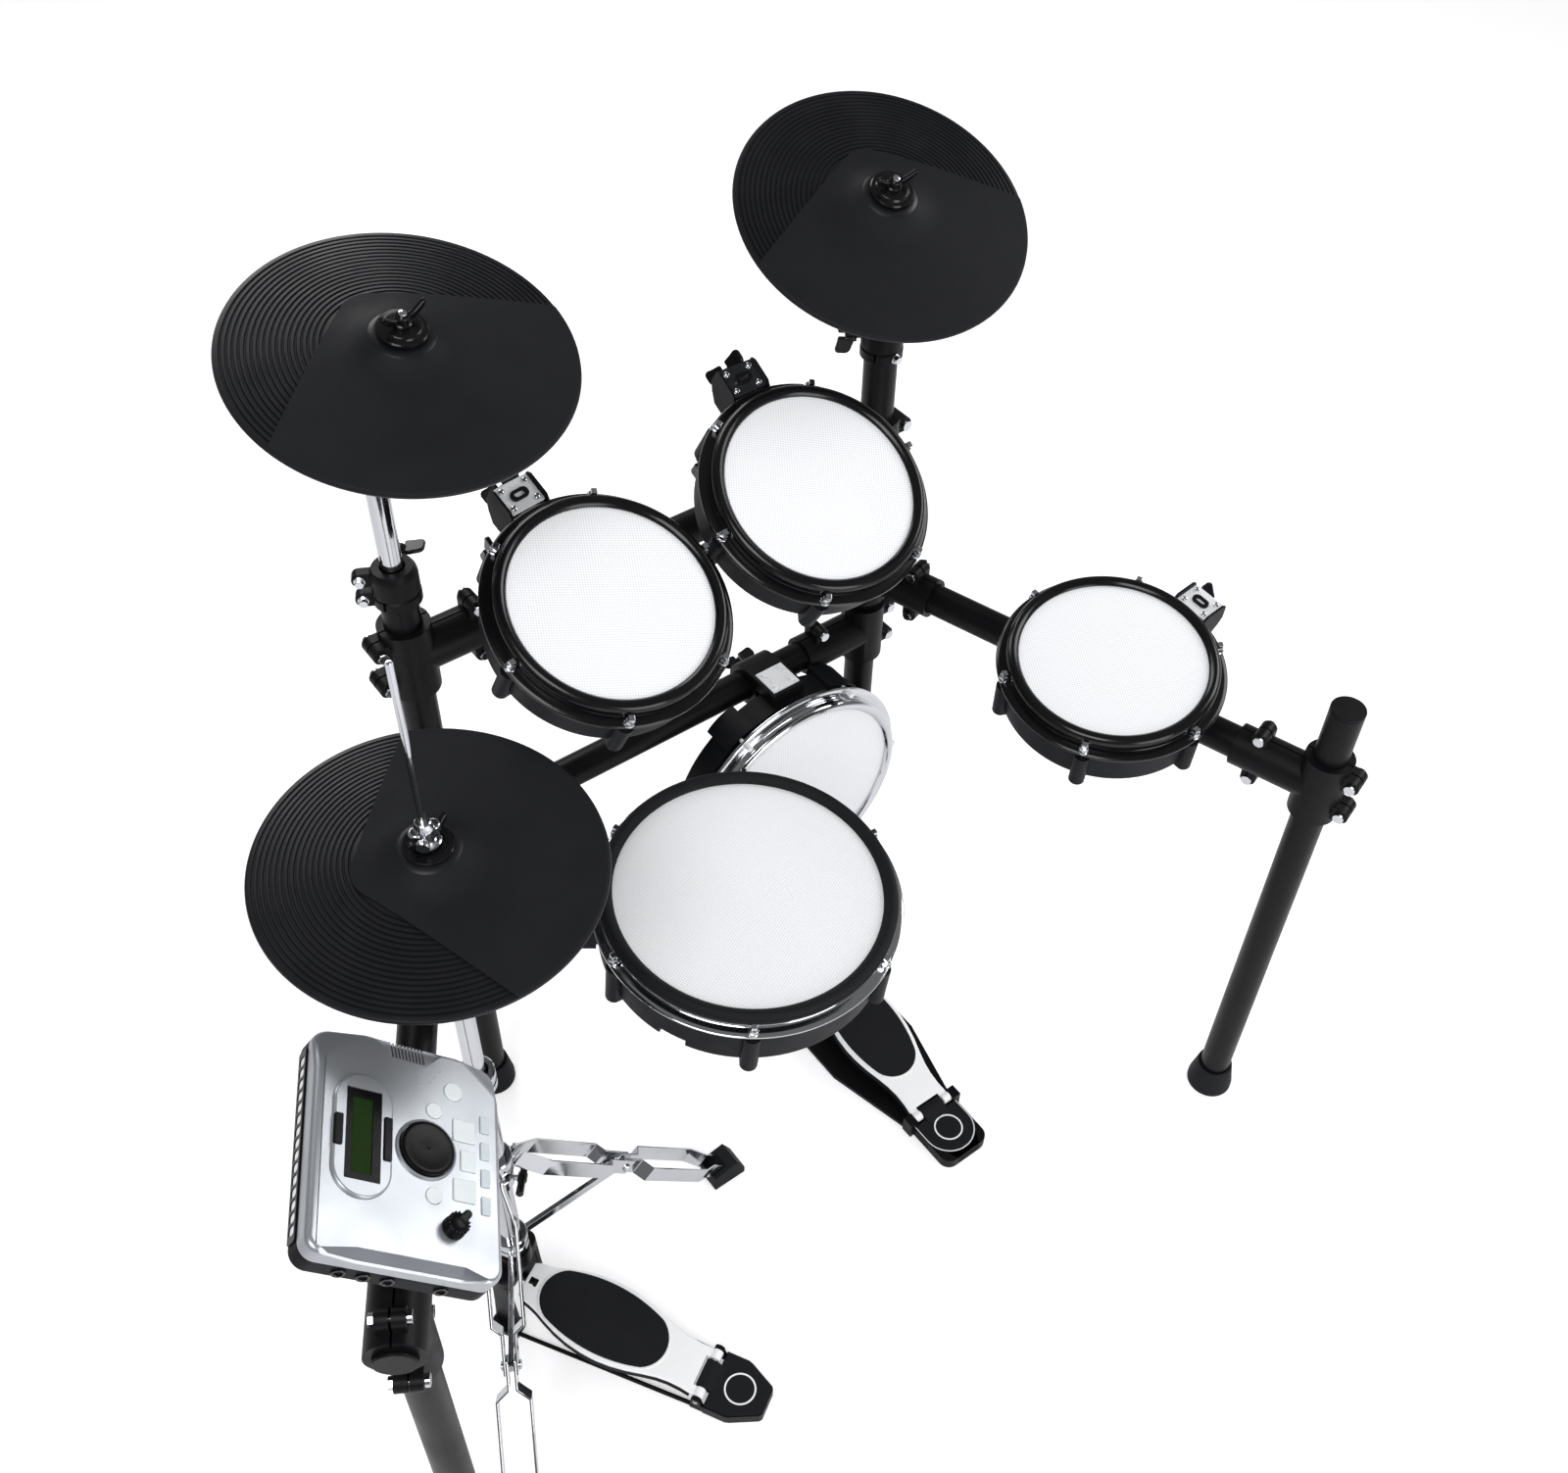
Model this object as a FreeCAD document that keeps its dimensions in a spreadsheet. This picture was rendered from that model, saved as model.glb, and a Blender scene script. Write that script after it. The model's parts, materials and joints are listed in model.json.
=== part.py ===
import FreeCAD, Part
import math
import os
import re
import Sketcher
from FreeCAD import Placement, Rotation, Vector

# Electronic drum kit on a tube rack. Millimetres and degrees, +Z up, the drummer sits on the -Y side
# and faces +Y. Every size of the kit is one cell of the sheet below.
kit_sizes = {
    # The middle of the rack's back bars, from the middle of the footprint
    "rack_x": 84.38,
    "rack_y": 245.43,
    # Rack tubes
    "tube_diameter": 38.0,
    "tube_wall": 2.0,
    "back_width": 600.0,
    "arm_length": 600.0,
    "right_arm_angle": 17.2,
    "left_arm_angle": 31.3,
    "upper_bar_height": 780.0,
    "lower_bar_height": 500.0,
    "arm_height": 597.0,
    "back_post_top": 884.0,
    "right_leg_top": 708.0,
    "bar_gap": 30.0,
    "arm_overhang": 2.0,
    # Tube caps and feet
    "cap_thickness": 4.0,
    "plug_length": 16.0,
    "foot_floor": 8.0,
    "foot_height": 42.0,
    "foot_low_radius": 29.0,
    "foot_high_radius": 22.5,
    # Clamps
    "slide_clearance": 0.3,
    "clamp_radius": 27.0,
    "clamp_height": 84.0,
    "socket_radius": 24.5,
    "socket_length": 100.0,
    "socket_ear_place": 74.0,
    "ear_radius": 9.0,
    "ear_reach": 6.0,
    "ear_half_width": 13.0,
    "ear_rise": 23.0,
    "split_gap": 2.0,
    "clamp_bolt_radius": 3.0,
    "clamp_bolt_head_radius": 6.0,
    "clamp_bolt_head_height": 5.0,
    "rod_clamp_width": 42.0,
    "rod_offset": 38.0,
    "rod_boss_radius": 13.0,
    "rod_boss_height": 44.0,
    "rod_bridge_width": 24.0,
    "rod_radius": 5.5,
    "rod_tail": 34.0,
    "rod_ball_radius": 11.0,
    "ball_clearance": 0.5,
    "mouth_low": 3.2,
    "mouth_high": 17.5,
    "ear_web": 8.0,
    "bridge_inset": 6.0,
    # Wing screws
    "wing_hub_radius": 7.0,
    "wing_hub_height": 13.0,
    "wing_span": 40.0,
    "wing_height": 24.0,
    "wing_thickness": 6.0,
    "wing_root": 4.0,
    "wing_tip_width": 5.0,
    "wing_tip_drop": 7.0,
    "wing_tip_round": 7.0,
    # What every drum pad shares
    "membrane": 1.0,
    "head_gap": 0.3,
    "ring_high": 9.0,
    "ring_low": 13.0,
    "ring_width": 3.5,
    "shell_wall": 3.2,
    "shell_floor": 3.0,
    "neck_depth": 20.0,
    "skirt_top": 24.0,
    "skirt_reach": 11.5,
    "edge_round": 4.0,
    "hoop_inner": 1.6,
    "hoop_seat": 4.1,
    "hoop_low": 16.0,
    "hoop_reach": 10.3,
    "hoop_shoulder": 1.5,
    "hoop_crown": 3.3,
    "hoop_top": 6.5,
    "hoop_round": 6.5,
    "lip_reach": 2.7,
    "lip_gap": 0.4,
    "lip_top": 3.0,
    "lip_round": 7.5,
    "flange_reach": 20.0,
    "flange_thickness": 4.0,
    "bolt_reach": 15.2,
    "bolt_radius": 2.6,
    "bolt_clearance": 0.3,
    "bolt_depth": 18.0,
    "bolt_end": 2.0,
    "bolt_washer_radius": 4.5,
    "bolt_washer_height": 1.6,
    "bolt_head_radius": 4.2,
    "bolt_head_height": 8.5,
    "lug_count": 6,
    "lug_top": 21.0,
    "lug_root": 5.0,
    "lug_drop": 5.0,
    "trigger_low_radius": 24.0,
    "trigger_high_radius": 9.0,
    "bracket_width": 46.0,
    "bracket_length": 36.0,
    "bracket_reach": 28.3,
    "bracket_height": 34.0,
    "bracket_step": 3.0,
    "bracket_foot": 22.0,
    "bracket_plate_thickness": 2.0,
    "bracket_screw_radius": 3.2,
    "bracket_screw_height": 2.6,
    "bracket_screw_inset": 7.0,
    # Toms
    "tom_head_radius": 103.7,
    "tom_depth": 60.0,
    "tom_lug_width": 17.0,
    "tom_lug_nose": 8.8,
    "tom_ball_drop": 32.0,
    "tom_1_along": 127.0,
    "tom_1_rise": 137.5,
    "tom_1_lean": 27.0,
    "tom_1_tilt": 26.9,
    "tom_1_turn": -82.0,
    "tom_2_along": 397.0,
    "tom_2_rise": 157.0,
    "tom_2_lean": 20.0,
    "tom_2_tilt": 30.2,
    "tom_2_turn": -88.6,
    "tom_3_inset": 200.0,
    "tom_3_rise": 105.0,
    "tom_3_lean": -3.3,
    "tom_3_tilt": 8.9,
    "tom_3_turn": -133.0,
    "tom_3_bracket_turn": 3.0,
    # Snare
    "snare_head_radius": 141.0,
    "snare_depth": 70.0,
    "snare_lug_width": 18.0,
    "snare_lug_nose": 9.3,
    "snare_ball_drop": 57.0,
    "snare_hoop_reach": 8.0,
    "rim_seat": 2.0,
    "rim_skirt": 1.5,
    "rim_reach": 12.5,
    "rim_shoulder": 3.5,
    "rim_crown": 5.0,
    "rim_top": 9.0,
    "rim_round": 8.0,
    "rim_lip_top": 5.0,
    "rim_lip_round": 9.0,
    "snare_along": 179.0,
    "snare_rise": 153.0,
    "snare_tilt": 5.7,
    "snare_turn": -77.0,
    "snare_bracket_turn": 146.0,
    "snare_notch_width": 30.0,
    "snare_notch_height": 12.0,
    # Kick
    "kick_head_radius": 139.3,
    "kick_depth": 60.0,
    "kick_lug_width": 44.0,
    "kick_lug_nose": 60.0,
    "kick_inset": 165.0,
    "kick_face": 93.0,
    "kick_height": 362.0,
    "hanger_width": 46.0,
    "hanger_thickness": 16.0,
    "hanger_inset": 6.0,
    "cover_inset": 4.0,
    "stand_bed_inset": 8.0,
    "stand_width": 220.0,
    "stand_length": 84.0,
    "stand_thickness": 6.0,
    "stand_leg_place": 33.0,
    "stand_leg_width": 34.0,
    "stand_leg_thickness": 8.0,
    "stand_tongue_width": 64.0,
    "stand_bed_thickness": 10.0,
    "pad_foot_radius": 12.0,
    "pad_foot_height": 4.0,
    # Cymbal pads
    "cymbal_radius": 152.5,
    "cymbal_bore": 8.0,
    "cymbal_hub": 12.0,
    "cymbal_drop": 19.0,
    "cymbal_thickness": 5.5,
    "bell_radius": 31.0,
    "bell_foot": 45.0,
    "bell_round": 14.0,
    "rim_edge": 3.0,
    "zone_height": 1.3,
    "zone_corner": 62.0,
    "zone_rim": 25.0,
    "zone_nose": 34.0,
    "zone_inner": 47.0,
    # Cymbal arms
    "collar_height": 58.0,
    "collar_radius": 27.0,
    "collar_lip": 6.0,
    "mast_radius": 11.0,
    "mast_sink": 70.0,
    "crash_mast_top": 1013.0,
    "ride_mast_top": 966.0,
    "neck_radius": 6.5,
    "neck_rise": 26.0,
    "neck_lean": 27.0,
    "crash_neck_length": 87.3,
    "ride_neck_length": 104.4,
    "knuckle_radius": 11.0,
    "knuckle_width": 9.0,
    "knuckle_gap": 0.3,
    "knuckle_pin_radius": 3.5,
    "stud_radius": 4.0,
    "stud_seat": 30.0,
    "stud_tip": 34.0,
    "seat_radius": 8.5,
    "seat_height": 7.0,
    "seat_gap": 0.75,
    "topper_radius": 20.0,
    "topper_height": 9.0,
    "topper_gap": 2.2,
    "crash_neck_turn": -46.6,
    "crash_tilt": 15.5,
    "crash_turn": -81.0,
    "ride_neck_turn": -150.3,
    "ride_tilt": 24.4,
    "ride_turn": -99.6,
    # Hi-hat
    "hihat_right": 183.7,
    "hihat_ahead": 215.7,
    "hihat_pad_rise": 250.0,
    "hihat_pad_turn": -11.0,
    "hihat_lean": 5.5,
    "hihat_lean_turn": -79.0,
    "hihat_rod_radius": 3.2,
    "hihat_rod_rise": 223.0,
    "hihat_rod_low": 66.0,
    "lower_tube_radius": 12.7,
    "lower_tube_bore": 10.3,
    "lower_tube_top": 500.0,
    "upper_tube_radius": 10.0,
    "upper_tube_bore": 7.5,
    "upper_tube_low": 420.0,
    "sensor_radius": 26.0,
    "sensor_height": 14.0,
    "hihat_travel": 20.8,
    "clutch_radius": 6.5,
    "clutch_height": 50.0,
    "clutch_lobe": 13.0,
    "clutch_nut_height": 6.0,
    "clutch_nut_gap": 1.5,
    "lobe_place": 8.0,
    "lobe_height": 9.0,
    "collar_ring_radius": 19.0,
    "collar_ring_height": 26.0,
    "leg_collar_height": 336.0,
    "brace_collar_height": 200.0,
    "leg_joint_radius": 140.0,
    "leg_joint_height": 227.0,
    "leg_foot_radius": 284.0,
    "leg_foot_height": 24.0,
    "leg_strip_width": 20.0,
    "leg_strip_thickness": 2.5,
    "leg_strip_spread": 18.0,
    "leg_turn": 0.0,
    "tip_length": 46.0,
    "tip_width": 34.0,
    "tip_height": 34.0,
    "tip_slot_length": 60.0,
    # Pedals
    "pedal_turn": -60.0,
    "pedal_length": 245.0,
    "board_length": 240.0,
    "board_thickness": 6.0,
    "board_rise": 11.5,
    "board_heel_half": 30.0,
    "board_waist_half": 30.0,
    "board_waist_place": 34.0,
    "board_toe_half": 22.0,
    "board_toe_place": 212.0,
    "board_side_radius": 230.0,
    "board_hole": 10.0,
    "board_hole_place": 222.0,
    "oval_place": 122.0,
    "oval_corner_x": 28.0,
    "oval_corner_y": 56.0,
    "oval_end_radius": 32.0,
    "oval_side_radius": 162.0,
    "oval_thickness": 2.5,
    "hinge_height": 20.0,
    "hinge_barrel_radius": 6.5,
    "hinge_pin_radius": 3.0,
    "hinge_clearance": 0.3,
    "heel_length": 76.0,
    "heel_half": 36.0,
    "heel_thickness": 16.0,
    "heel_gap": 9.0,
    "cheek_width": 12.0,
    "cheek_reach": 7.0,
    "floor_plate_thickness": 6.0,
    "floor_plate_half": 68.0,
    "kick_heel_y": -393.0,
    "plate_margin": 4.0,
    "post_place": 240.0,
    "post_half": 50.0,
    "post_width": 12.0,
    "post_length": 26.0,
    "axle_height": 205.0,
    "axle_radius": 5.0,
    "axle_end": 4.0,
    "post_rise": 14.0,
    "hub_radius": 15.0,
    "hub_width": 24.0,
    "beater_length": 150.0,
    "beater_shaft_radius": 4.0,
    "beater_head_radius": 21.0,
    "beater_head_length": 40.0,
    "beater_lean": 30.0,
    "strap_width": 16.0,
    "strap_thickness": 3.0,
    "strap_inset": 8.0,
    "strap_tongue": 4.0,
    "frame_half": 38.0,
    "frame_width": 12.0,
    "frame_length": 44.0,
    "frame_height": 118.0,
    "frame_bridge": 26.0,
    "brace_rod_radius": 4.0,
    "brace_rod_height": 7.0,
    "brace_overlap": 4.0,
    "tube_socket_wall": 8.0,
    "tube_socket_height": 40.0,
    "rod_way_gap": 3.0,
    # Sound module
    "module_inset": 100.0,
    "module_rise": 93.3,
    "module_tilt": 36.4,
    "module_turn": 2.7,
    "module_shift": 43.1,
    "module_width": 198.0,
    "module_height": 165.0,
    "module_corner": 14.0,
    "case_depth": 24.0,
    "case_taper": 9.0,
    "panel_depth": 16.0,
    "panel_bevel": 6.0,
    "well_depth": 9.0,
    "key_clearance": 0.35,
    "key_proud": 1.6,
    "key_travel": 1.2,
    "screen_width": 80.0,
    "screen_height": 30.0,
    "screen_x": 3.6,
    "screen_y": 41.5,
    "screen_sink": 1.0,
    "bezel_width": 108.0,
    "bezel_height": 51.0,
    "bezel_rise": 3.0,
    "dial_x": 4.0,
    "dial_y": -14.0,
    "dial_radius": 23.5,
    "dial_height": 9.0,
    "dial_sink": 4.0,
    "dial_bevel": 2.0,
    "knob_x": -59.0,
    "knob_y": -38.0,
    "knob_radius": 10.0,
    "knob_height": 14.0,
    "pointer_width": 5.0,
    "pointer_reach": 3.0,
    "pointer_turn": -40.0,
    "soft_key_height": 7.0,
    "soft_upper_y": 62.7,
    "soft_upper_width": 27.0,
    "soft_lower_y": 20.8,
    "soft_lower_width": 38.0,
    "round_key_radius": 7.0,
    "round_key_y": -21.0,
    "round_left_x": -34.9,
    "round_upper_x": 41.3,
    "round_right_x": 63.3,
    "round_right_y": -38.4,
    "round_right_radius": 8.3,
    "square_key_y": -48.0,
    "square_key_width": 19.5,
    "square_key_height": 20.0,
    "square_left_x": -25.1,
    "square_right_x": 28.3,
    "middle_key_x": 1.8,
    "middle_key_y": -51.5,
    "middle_key_width": 18.0,
    "middle_key_height": 13.5,
    "small_key_x": -34.6,
    "small_key_y": -67.2,
    "small_key_pitch": 24.45,
    "small_key_width": 15.5,
    "small_key_height": 8.0,
    "pivot_drop": 46.0,
    "pivot_low": 14.0,
    "pivot_radius": 5.0,
    "pivot_half": 13.0,
    "pivot_ear": 8.0,
    "pivot_ear_radius": 11.0,
    "pivot_end": 3.0,
    "mount_plate_length": 90.0,
    "mount_plate_width": 70.0,
    "mount_plate_thickness": 4.0,
    "mount_neck_radius": 12.0,
}

doc = FreeCAD.newDocument("electronic_drum_kit")
sheet = doc.addObject("Spreadsheet::Sheet", "Kit")
for row, (size_name, size_value) in enumerate(kit_sizes.items(), 1):
    sheet.set(f"A{row}", str(size_value))
    sheet.setAlias(f"A{row}", size_name)
doc.recompute()

up = Vector(0, 0, 1)
side = Vector(1, 0, 0)
ahead = Vector(0, 1, 0)
nodes = []


def number(formula):
    return float(sheet.evalExpression(formula))


def cells(formula):
    return re.sub(r"[a-z]\w*", r"Kit.\g<0>", formula)


def bind(item, **formulas):
    for name, formula in formulas.items():
        item.setExpression(name, cells(formula))
    return item


def point(x, y, z):
    return Vector(number(x), number(y), number(z))


def compass(degrees):
    return Vector(math.cos(math.radians(degrees)), math.sin(math.radians(degrees)), 0)


def leaning(tilt, turn):
    return up * math.cos(math.radians(tilt)) + compass(turn) * math.sin(math.radians(tilt))


def frame_at(spot, x_dir, z_dir):
    return Placement(spot, Rotation(x_dir, z_dir.cross(x_dir), z_dir, "ZXY"))


def spun(degrees, spot=Vector()):
    return Placement(spot, Rotation(up, degrees))


# Solids made from primitives. Sizes are formulas of the sheet's cells, places are vectors.
def cylinder(radius, height, base=Vector(), along=up):
    item = bind(doc.addObject("Part::Cylinder", "cylinder"), Radius=radius, Height=height)
    item.Placement = Placement(base, Rotation(up, along))
    return item


def cone(low, high, height, base=Vector(), along=up):
    item = bind(doc.addObject("Part::Cone", "cone"), Radius1=low, Radius2=high, Height=height)
    item.Placement = Placement(base, Rotation(up, along))
    return item


def ball(radius, centre=Vector(), along=up):
    item = bind(doc.addObject("Part::Sphere", "ball"), Radius=radius)
    item.Placement = Placement(centre, Rotation(up, along))
    return item


def block(length, width, height, corner):
    item = bind(doc.addObject("Part::Box", "block"), Length=length, Width=width, Height=height)
    item.Placement.Base = point(*corner)
    return item


def hexagon(radius, height, base=Vector(), along=up):
    item = bind(doc.addObject("Part::Prism", "hexagon"), Circumradius=radius, Height=height)
    item.Polygon = 6
    item.Placement = Placement(base, Rotation(up, along))
    return item


def fused(*items):
    item = doc.addObject("Part::MultiFuse", "fused")
    item.Shapes = list(items)
    return item


def less(base, *tools):
    item = doc.addObject("Part::Cut", "less")
    item.Base = base
    item.Tool = tools[0] if len(tools) == 1 else fused(*tools)
    return item


def shared(first, second):
    item = doc.addObject("Part::Common", "shared")
    item.Base = first
    item.Tool = second
    return item


def copies(item, *places):
    links = []
    for place in places:
        link = doc.addObject("App::Link", "copy")
        link.LinkedObject = item
        link.Placement = place
        links.append(link)
    if len(links) == 1:
        return links[0]
    several = doc.addObject("Part::Compound", "copies")
    several.Links = links
    return several


# Bodies drawn as closed outlines: each corner is a pair of formulas, and a third one bends the edge
# that arrives at it into an arc of that radius, turning left where it is positive.
def draw(body, plane, corners, lift="0"):
    sketch = body.newObject("Sketcher::SketchObject", "outline")
    planes = [feature for feature in body.Origin.OriginFeatures if feature.Role == plane]
    sketch.AttachmentSupport = [(planes[0], "")]
    sketch.MapMode = "FlatFace"
    if lift != "0":
        sketch.setExpression("AttachmentOffset.Base.z", cells(lift))
    spots = [Vector(number(corner[0]), number(corner[1]), 0) for corner in corners]
    ends = []
    for index, corner in enumerate(corners):
        start, end = spots[index - 1], spots[index]
        if len(corner) == 2:
            sketch.addGeometry(Part.LineSegment(start, end))
            ends.append((1, 2))
            continue
        radius = number(corner[2])
        chord = end - start
        reach = math.sqrt(radius ** 2 - (chord.Length / 2) ** 2)
        left = Vector(-chord.y, chord.x, 0).normalize()
        centre = (start + end) / 2 + left * math.copysign(reach, radius)
        first, last = (start, end) if radius > 0 else (end, start)
        begin = math.atan2(first.y - centre.y, first.x - centre.x)
        finish = math.atan2(last.y - centre.y, last.x - centre.x)
        circle = Part.Circle(centre, up, abs(radius))
        arc = sketch.addGeometry(Part.ArcOfCircle(circle, begin, finish))
        ends.append((1, 2) if radius > 0 else (2, 1))
        fix = sketch.addConstraint(Sketcher.Constraint("Radius", arc, abs(radius)))
        sketch.setExpression(f"Constraints[{fix}]", cells(corner[2].lstrip("-")))
    for index, corner in enumerate(corners):
        follower = (index + 1) % len(corners)
        place = (index, ends[index][1])
        sketch.addConstraint(Sketcher.Constraint("Coincident", *place, follower, ends[follower][0]))
        for kind, formula, axis in (("DistanceX", corner[0], -2), ("DistanceY", corner[1], -1)):
            if formula == "0":
                sketch.addConstraint(Sketcher.Constraint("PointOnObject", *place, axis))
                continue
            fix = sketch.addConstraint(Sketcher.Constraint(kind, *place, number(formula)))
            sketch.setExpression(f"Constraints[{fix}]", cells(formula))
    return sketch


def draw_circle(body, x, radius, lift):
    sketch = body.newObject("Sketcher::SketchObject", "circle")
    planes = [feature for feature in body.Origin.OriginFeatures if feature.Role == "XY_Plane"]
    sketch.AttachmentSupport = [(planes[0], "")]
    sketch.MapMode = "FlatFace"
    sketch.setExpression("AttachmentOffset.Base.z", cells(lift))
    circle = sketch.addGeometry(Part.Circle(point(x, "0", "0"), up, number(radius)))
    sketch.addConstraint(Sketcher.Constraint("PointOnObject", circle, 3, -1))
    fix = sketch.addConstraint(Sketcher.Constraint("DistanceX", circle, 3, number(x)))
    sketch.setExpression(f"Constraints[{fix}]", cells(x))
    fix = sketch.addConstraint(Sketcher.Constraint("Radius", circle, number(radius)))
    sketch.setExpression(f"Constraints[{fix}]", cells(radius))
    return sketch


def turned(name, corners):
    body = doc.addObject("PartDesign::Body", name)
    turn = body.newObject("PartDesign::Revolution", "turn")
    turn.Profile = draw(body, "XZ_Plane", corners)
    turn.ReferenceAxis = (turn.Profile[0], ["V_Axis"])
    turn.Angle = 360
    body.Tip = turn
    return body


def padded(body, plane, corners, height, lift="0", centred=False):
    pad = body.newObject("PartDesign::Pad", "pad")
    pad.Profile = draw(body, plane, corners, lift)
    pad.setExpression("Length", cells(height))
    if centred:
        pad.SideType = "Symmetric"
    body.Tip = pad
    return pad


def pocketed(body, sketch, depth):
    pocket = body.newObject("PartDesign::Pocket", "pocket")
    pocket.Profile = sketch
    pocket.setExpression("Length", cells(depth))
    body.Tip = pocket
    return pocket


def repeated(body, features, count):
    doc.recompute()
    pattern = body.newObject("PartDesign::PolarPattern", "pattern")
    pattern.Originals = features
    pattern.Axis = (features[0].Profile[0], ["N_Axis"])
    pattern.Angle = 360
    pattern.setExpression("Occurrences", cells(count))
    body.Tip = pattern


# Each sub-part, named and put in its place in the kit
kit_place = Placement(point("rack_x", "rack_y", "0"), Rotation())


def keep(item, label, place=Placement()):
    item.Label = label
    item.Placement = kit_place * place
    nodes.append(item)


def keep_group(label, items, place=Placement()):
    group = doc.addObject("Part::Compound", label)
    group.Links = list(items)
    keep(group, label, place)


# Where the rack's four uprights stand, and the run of its side arms
back_left = point("-back_width / 2", "0", "0")
back_right = point("back_width / 2", "0", "0")
right_run = compass(number("right_arm_angle") - 90)
left_run = compass(-90 - number("left_arm_angle"))
front_right = back_right + right_run * number("arm_length")
front_left = back_left + left_run * number("arm_length")
upper_bar = up * number("upper_bar_height")
lower_bar = up * number("lower_bar_height")
arm_level = up * number("arm_height")


def tube(length, base, along):
    outer = cylinder("tube_diameter / 2", length, base, along)
    inner = cylinder("tube_diameter / 2 - tube_wall", length, base, along)
    return less(outer, inner)


def rack_tubes():
    floor = up * number("foot_floor")
    gap = number("bar_gap")
    bar_length = "back_width - 2 * bar_gap"
    overhang = "arm_length - bar_gap + clamp_height / 2 + arm_overhang"
    keep_group("rack_tubes", [
        tube("back_post_top - foot_floor", back_left + floor, up),
        tube("back_post_top - foot_floor", back_right + floor, up),
        tube("right_leg_top - foot_floor", front_right + floor, up),
        tube("arm_height - bar_gap - foot_floor", front_left + floor, up),
        tube(bar_length, back_left + upper_bar + side * gap, side),
        tube(bar_length, back_left + lower_bar + side * gap, side),
        tube("arm_length - 2 * bar_gap", back_right + arm_level + right_run * gap, right_run),
        tube(overhang, back_left + arm_level + left_run * gap, left_run),
    ])


def tube_caps():
    cap = fused(
        cylinder("tube_diameter / 2", "cap_thickness"),
        cylinder("tube_diameter / 2 - tube_wall - slide_clearance", "plug_length",
                 point("0", "0", "-plug_length")),
    )
    arm_end = front_left + arm_level + left_run * number("clamp_height / 2 + arm_overhang")
    keep_group("tube_caps", [copies(
        cap,
        Placement(front_right + up * number("right_leg_top"), Rotation()),
        Placement(arm_end, Rotation(up, left_run)),
    )])


def rack_foot():
    sleeve = "tube_diameter / 2 + slide_clearance"
    return turned("rack_foot", [
        ("0", "0"),
        ("foot_low_radius", "0"),
        ("foot_low_radius", "foot_floor"),
        ("foot_high_radius", "foot_height"),
        (sleeve, "foot_height"),
        (sleeve, "foot_floor"),
        ("0", "foot_floor"),
    ])


# The T-clamp is two half shells: a ring round one tube, a socket for the end of another, and four
# ears with bolts across the split. Ring along Z, socket along X.
def clamp_ears():
    ring_ear = number("clamp_radius + ear_reach")
    rise = number("ear_rise")
    socket_ear = number("socket_ear_place")
    drop = number("socket_radius + ear_reach")
    return [
        Vector(-ring_ear, 0, rise),
        Vector(-ring_ear, 0, -rise),
        Vector(socket_ear, 0, drop),
        Vector(socket_ear, 0, -drop),
    ]


def t_clamp():
    bore = "tube_diameter / 2 + slide_clearance"
    half = ahead * number("ear_half_width")
    ears = []
    holes = []
    for spot in clamp_ears():
        ears.append(cylinder("ear_radius", "2 * ear_half_width", spot - half, ahead))
        holes.append(cylinder("clamp_bolt_radius + slide_clearance", "2 * ear_half_width",
                              spot - half, ahead))
    webs = [
        block("ear_reach + ear_web", "2 * ear_half_width", "2 * ear_radius",
              ("-clamp_radius - ear_reach", "-ear_half_width", "ear_rise - ear_radius")),
        block("ear_reach + ear_web", "2 * ear_half_width", "2 * ear_radius",
              ("-clamp_radius - ear_reach", "-ear_half_width", "-ear_rise - ear_radius")),
        block("2 * ear_radius", "2 * ear_half_width", "2 * (socket_radius + ear_reach)",
              ("socket_ear_place - ear_radius", "-ear_half_width", "-socket_radius - ear_reach")),
    ]
    ring = cylinder("clamp_radius", "clamp_height", point("0", "0", "-clamp_height / 2"))
    socket = cylinder("socket_radius", "socket_length", Vector(), side)
    return less(
        fused(ring, socket, *ears, *webs),
        cylinder(bore, "clamp_height", point("0", "0", "-clamp_height / 2")),
        cylinder(bore, "socket_length", Vector(), side),
        block("2 * socket_length", "split_gap", "2 * clamp_height",
              ("-socket_length", "-split_gap / 2", "-clamp_height")),
        *holes,
    )


def clamp_bolts():
    bolts = []
    for spot in clamp_ears():
        low = spot - ahead * number("ear_half_width")
        high = spot + ahead * number("ear_half_width")
        bolts.append(fused(
            cylinder("clamp_bolt_radius", "2 * ear_half_width", low, ahead),
            cylinder("clamp_bolt_head_radius", "clamp_bolt_head_height", high, ahead),
            hexagon("clamp_bolt_head_radius", "clamp_bolt_head_height", low, -ahead),
        ))
    return bolts


def t_clamp_places():
    down = up * -1
    return [
        frame_at(back_left + upper_bar, side, up),
        frame_at(back_left + lower_bar, side, up),
        frame_at(back_right + upper_bar, side * -1, up),
        frame_at(back_right + lower_bar, side * -1, up),
        frame_at(back_left + arm_level, left_run, up),
        frame_at(back_right + arm_level, right_run, up),
        frame_at(front_right + arm_level, right_run * -1, up),
        frame_at(front_left + arm_level, down, left_run),
    ]


def rack_clamps():
    places = t_clamp_places()
    keep_group("t_clamps", [copies(t_clamp(), *places)])
    keep_group("clamp_bolts", [copies(bolt, *places) for bolt in clamp_bolts()])


# A wing screw stands on Z = 0 with its hub along Z
def wing_screw():
    tip = "wing_height - wing_tip_drop"
    waist = "wing_hub_height + slide_clearance"
    body = doc.addObject("PartDesign::Body", "wing")
    padded(body, "XZ_Plane", [
        ("-wing_span / 2", tip, "wing_tip_round"),
        ("-wing_hub_radius", "wing_root"),
        ("wing_hub_radius", "wing_root"),
        ("wing_span / 2", tip),
        ("wing_span / 2 - wing_tip_width", "wing_height", "wing_tip_round"),
        ("wing_root", waist),
        ("-wing_root", waist),
        ("wing_tip_width - wing_span / 2", "wing_height"),
    ], "wing_thickness", centred=True)
    return fused(body, cylinder("wing_hub_radius", "wing_hub_height"))


wing = wing_screw()


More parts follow.
